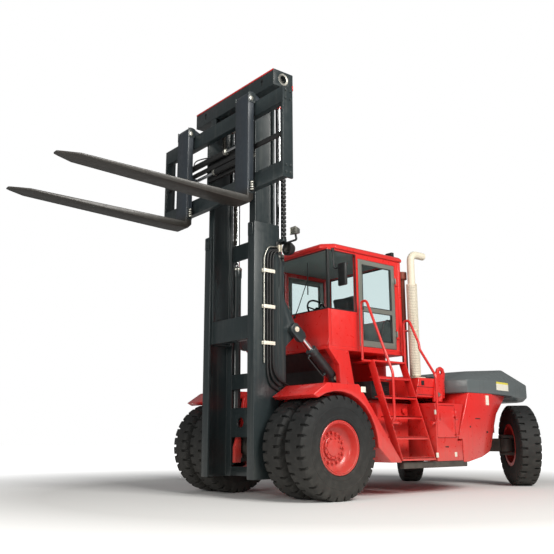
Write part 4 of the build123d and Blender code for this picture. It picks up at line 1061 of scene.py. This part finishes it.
def dash():
    """A console with round dials, a raked column, a rimmed steering wheel and levers."""
    shell = block((-0.768, -0.512), near(0, 0.398), (MAT_Z, 2.618))
    pick(shell, lambda c, n: n.z > 0.9)
    bpy.ops.mesh.inset(thickness=0.03, depth=0)
    bpy.ops.transform.translate(value=(0.02, 0, -0.03))
    pick(shell, lambda c, n: n.x < -0.9)
    bpy.ops.mesh.inset(thickness=0.04, depth=-0.012)
    leave()
    soften(shell, 0.01)
    hub, column = Vector((-1.01, 0, 2.78)), Vector((-0.76, 0, 2.56))
    lean = (hub - column).normalized()
    angles = [math.radians(45 * i) for i in range(8)]
    section = [(0.19 + 0.015 * math.cos(a), 0.015 * math.sin(a)) for a in angles]
    ring = spun(section, 48, hub, lean, closed=True, crease=60)
    facing = moved(hub) @ Vector(UP).rotation_difference(lean).to_matrix().to_4x4()
    spoke = bar((0.02, 0.185), near(0, 0.014), near(0, 0.006), 0.004)
    spokes = [copy(spoke, facing @ Matrix.Rotation(math.radians(turn), 4, "Z")) for turn in (60, 180, 300)]
    drop(spoke)
    boss = peg(hub - lean * 0.02, hub + lean * 0.02, 0.05, 28, 0.006)
    post = peg(column - lean * 0.03, hub, 0.032, 24)
    levers = []
    for i in range(4):
        y = -0.5 - 0.05 * i
        levers.append(bent_tube([(-1.3, y, 2.55), (-1.28, y, 2.7)], 0.007, 0.0, 8))
        levers.append(peg((-1.283, y, 2.69), (-1.277, y, 2.735), 0.015, 16, 0.005))
    levers.append(soften(block((-1.42, -1.16), (-0.68, -0.46), (MAT_Z, 2.56)), 0.02, 3))
    black = [shell, ring, *spokes, boss, post, *levers]
    settle(black, "dash_console", PLASTIC, stands_for=("dash_and_wheel",))
    dials = [rod((-0.772, -0.756), y, 2.45, 0.035, 24, 0.003) for y in (-0.24, -0.14, 0.14, 0.24)]
    settle(dials, "dash_dials", ZINC)


def stairs():
    """Raked stairs with studded treads, a landing and bent handrails on each side."""
    run = ((1.5, 0.48), (1.37, 0.48), (0.87, 1.93), (1.0, 1.93))
    rails = [soften(slab([(x, y, z) for y, z in run], (0.015, 0, 0)), 0.003) for x in (-1.215, -1.915)]
    treads = []
    for i in range(5):
        y, z = 1.5 - 0.1 * i, 0.5 + 0.29 * i
        treads.append(bar(TREAD_X, (y - 0.2, y - 0.012), (z + 0.004, z + 0.023)))
        treads.append(bar(TREAD_X, (y - 0.02, y - 0.012), (z - 0.02, z + 0.023), 0.002))
        for row in (0.055, 0.105, 0.155):
            for j in range(9):
                x = -1.86 + 0.0755 * j
                treads.append(rod(x, y - row, (z + 0.02, z + 0.029), 0.01, 8))
    treads.append(bar(LANDING_X, (0.56, 1.0), (1.902, 1.93), 0.004))
    treads.append(bar(LANDING_X, (0.44, 1.38), (0.482, 0.51), 0.004))
    settle(pair(*rails, *treads), "stair_flights", RED, stands_for=("stairs",))
    # Handrails: x of the rail, of its ends on the stairs and of its flange, then the upper points (y, z).
    tubes = []
    for x, end, flange, upper in (
        (-1.035, -1.207, (-1.222, -1.214), ((0.94, 2.79), (1.05, 2.79))),
        (-1.975, -1.908, (-1.922, -1.915), ((0.94, 2.58), (1.05, 2.58), (1.235, 2.19), (1.225, 2.13))),
    ):
        side = ((0.94, 1.915), *upper, (1.52, 1.69), (1.52, 1.05), (1.44, 1.0))
        tubes.append(bent_tube([*[(x, y, z) for y, z in side], (end, 1.44, 1.0)], 0.02, 0.045))
        tubes.append(rod((end, x + (0.005 if x > end else -0.005)), 0.94, 1.91, 0.02))
        tubes.append(rod(flange, 1.44, 1.0, 0.036))
    settle(pair(*tubes), "stair_handrails", RED, stands_for=("stairs",))
    # Behind the treads: the fuel tank's pressed front, and above it the intake: black louvres over a black
    # box that is painted shade for its opening.
    tank = block((-1.895, -1.225), (0.8, 1.02), (0.512, 1.3))
    pick(tank, lambda c, n: n.y > 0.9)
    bpy.ops.mesh.inset(thickness=0.05, depth=-0.012)
    leave()
    tank = soften(tank, 0.012)
    cap = rod(-1.8, (1.01, 1.045), 1.19, 0.045, 28, 0.006)
    settle(pair(tank, cap), "stair_tanks", RED)
    # The first slat is a black box, painted shade filling the intake's opening; the rest are louvres.
    slats = [bar((-1.6, -1.22), (0.44, 0.93), (1.36, 1.62), 0.008)]
    slats += [bar((-1.585, -1.235), (0.925, 0.945), near(1.394 + 0.03 * i, 0.009), 0.004) for i in range(8)]
    settle(pair(*slats), "intake_louvres_and_shade", PLASTIC)


def perforated(centre, radius, z, rows, columns, thickness):
    """A punched guard: a tube wall whose every face is inset and opened, then thickened."""
    bpy.ops.mesh.primitive_cylinder_add(
        vertices=columns, radius=radius, depth=z[1] - z[0], end_fill_type="NOTHING",
        location=(*centre, sum(z) / 2))
    made = bpy.context.object
    bpy.ops.object.transform_apply()
    edit(made)
    bpy.ops.mesh.select_all(action="DESELECT")
    bpy.ops.mesh.select_mode(type="EDGE")
    leave()
    for edge in made.data.edges:
        a, b = (made.data.vertices[v].co for v in edge.vertices)
        edge.select = abs(a.z - b.z) > 0.1
    bpy.ops.object.mode_set(mode="EDIT")
    bpy.ops.mesh.subdivide_edgering(number_cuts=rows - 1, interpolation="LINEAR", smoothness=0)
    bpy.ops.mesh.select_mode(type="FACE")
    select_all()
    bpy.ops.mesh.inset(thickness=0.0055, use_individual=True)
    bpy.ops.mesh.delete(type="FACE")
    leave()
    apply(made, "SOLIDIFY", thickness=thickness, offset=-1.0)
    return made


def exhaust():
    """A cream silencer stack with a swept outlet, punched guard, bands and foot."""
    x, y = -2.18, 0.96
    stack = bent_tube([(x, y, 1.7), (x, y, 3.7), (x - 0.31, y, 3.7)], 0.06, 0.12, 28)
    # A black disc in the outlet is painted shade for its open mouth; the silencer body inside the guard is
    # black so that the holes read as shade.
    inner = rod((x - 0.309, x - 0.311), y, 3.7, 0.05, 28)
    sleeve = rod(x, y, (1.74, 3.16), 0.068, 28)
    settle([inner, sleeve], "exhaust_mouth_shade", CHASSIS)
    guard = perforated((x, y), 0.085, (1.76, 3.17), 56, 30, 0.003)
    bands = [rod(x, y, (z, z + 0.025), 0.0855, 32, 0.002) for z in (1.735, 2.44, 3.17)]
    lugs = [bar(near(x, 0.012), (y + 0.08, y + 0.104), (z + 0.002, z + 0.023), 0.002) for z in (2.44, 3.17)]
    foot = bar(near(x, 0.11), (y - 0.1, y + 0.11), (1.7, 1.716), 0.004)
    settle([stack, guard, *bands, *lugs, foot], "exhaust_guarded", CREAM, stands_for=("exhaust_stack",))
    stay = bent_tube([(-2.05, 0.82, 2.452), (-2.1, 0.84, 2.452), (x + 0.02, y - 0.082, 2.452)], 0.014, 0.03)
    settle(stay, "exhaust_stay", RED)


def body_dress():
    """Sills, reflectors, plates, hood seams, latches and bolts."""
    sill = pair(soften(block((-2.73, -1.28), (1.36, 1.44), (0.37, 0.462)), 0.012))
    settle(sill, "body_sills", CHASSIS)
    pale = [bar(near(x, 0.028), (1.446, 1.4545), near(z, 0.034), 0.002)
            for x, z in ((-2.444, 0.55), (-2.012, 0.546), (-2.015, 1.165))]
    pale.append(bar((-0.5, -0.41), near(FENDER_SIDE, 0.003), (1.395, 1.47), 0.001))
    settle(pair(*pale), "blank_reflectors", PLATE)
    # Dark marks: the first is a flush black pad, painted shade standing for an oval slot; the thin bars
    # along the hood are its seams.
    marks = [bar((-2.285, -2.205), (1.444, 1.452), (0.652, 0.672), 0.0035),
             bar((-3.1, -2.97), (1.444, 1.452), (1.075, 1.092), 0.0035)]
    dots = ((-2.835, 0.959), (-3.27, 0.88), (-2.065, 1.163))
    marks += [rod(x, (1.445, 1.453), z, 0.014, 16) for x, z in dots]
    marks += [bar((-2.69, -2.03), (1.106, 1.1125), near(z, 0.004), 0.001) for z in (1.56, 1.44)]
    marks += [bar(near(x, 0.03), (1.106, 1.12), (1.585, 1.655)) for x in (-2.16, -2.6)]
    settle(pair(*marks), "body_seams_and_slot_shade", PLASTIC)
    bolts = [rod(-2.48, (1.1, 1.162), 1.45, 0.034, 24, 0.004), rod(-2.48, (1.16, 1.175), 1.45, 0.022, 6)]
    settle(pair(*bolts), "lug_bolts", ZINC)
    # Blank plates on the slanted sides of the cover, each with a yellow band along its top.
    along = Vector((-1.38, -0.27, 0)).normalized()
    outward = Vector((-0.27, 1.38, 0)).normalized()
    corner = Vector((-3.624, 1.4258, 1.55)) + outward * 0.001
    high = Vector((0, 0, 0.105))
    settle(pair(sheet(corner, along * 0.47, high, 0.004)), "blank_plates", PLATE)
    settle(pair(sheet(corner + high, along * 0.47, (0, 0, 0.03), 0.004)), "plate_bands", YELLOW)
    # A flat black panel across the frame's front below the cab: painted shade for the dark space under the
    # cab.
    shade_panel_outline = ((-0.674, 1.46), (-0.674, 1.787), (-0.505, 2.044),
             (-0.512, 2.049), (-0.682, 1.79), (-0.682, 1.46))
    settle(slab([(x, -0.5, z) for x, z in shade_panel_outline], (0, 1.0, 0)), "front_shade_panel", CHASSIS)
    # The grille's slots are not cut: dark bars on the face are painted shade for their openings.
    slots = [bar((-5.083, -5.076), near(0.06 * j, 0.018), (1.52, 1.65)) for j in range(-9, 10)]
    settle(slots, "rear_grille_slot_shade", PLASTIC)
    lenses = pair(soften(block((-5.086, -5.074), (0.7, 0.85), (1.525, 1.645)), 0.005, 2))
    settle(lenses, "tail_lenses", TAIL_LENS)
    bow = ((0.75, 1.698), (0.75, 1.735), (0.95, 1.735), (0.95, 1.698))
    handles = [bent_tube([(x, y, z) for y, z in bow], 0.009, 0.015, 8) for x in (-2.45, -2.62)]
    settle(pair(*handles), "hood_handles", CHASSIS)


WHITE = (1, 1, 1, 1)
LAMP_COLOUR = (1, 0.98, 0.93)
LAMPS_FACE = Vector((-1, 0, 2))
FILL_LIGHT = 0.19


def studio():
    """A pale floor, a white surround and soft lamps."""
    bpy.ops.mesh.primitive_plane_add(size=160, location=(0, 0, 0))
    floor = bpy.context.object
    floor.name = "studio_floor"
    pale = {"Roughness": 0.8, "Base Color": linear("#f2f2f2"), "Emission Color": WHITE}
    paint, tree, shader, place = begin("pale_floor", pale)
    # Away from the truck the floor fades to the white of the surround, for the camera only.
    away = add(tree, "VectorMath", {0: place, 1: (-1.5, 0, 0)}, operation="DISTANCE").outputs["Value"]
    seen = add(tree, "LightPath", {}).outputs["Is Camera Ray"]
    white = times(tree, ramp(tree, away, 4.5, 11.0), seen)
    tree.links.new(white, shader.inputs["Emission Strength"])
    floor.data.materials.append(paint)
    world = bpy.data.worlds.new("soft_surround")
    bpy.context.scene.world = world
    world.use_nodes = True
    tree = world.node_tree
    back = tree.nodes["Background"]
    back.inputs["Color"].default_value = WHITE
    # The surround is white to the camera, also through glass, and lights the truck more weakly.
    rays = add(tree, "LightPath", {}).outputs
    direct = {0: rays["Is Camera Ray"], 1: rays["Is Transmission Ray"]}
    through = add(tree, "Math", direct, operation="MAXIMUM").outputs[0]
    tree.links.new(ramp(tree, through, start=FILL_LIGHT), back.inputs["Strength"])
    # Lamps: place, power, size.
    for place, power, size in (((0, 15, 11), 2800, 7), ((13, 5, 6), 750, 6)):
        bpy.ops.object.light_add(type="AREA", location=place)
        lamp = bpy.context.object
        lamp.data.energy = power
        lamp.data.size = size
        lamp.data.color = LAMP_COLOUR
        lamp.rotation_euler = (LAMPS_FACE - lamp.location).to_track_quat("-Z", "Y").to_euler()


camera()
bpy.context.scene.view_settings.view_transform = "Standard"
cad_finishes()
wheels()
lift_chains()
mast_dress()
mast_hoses()
mast_lamps()
tilt_cylinders()
carriage_dress()
mirrors()
cab_dress()
seat()
dash()
stairs()
exhaust()
body_dress()
studio()
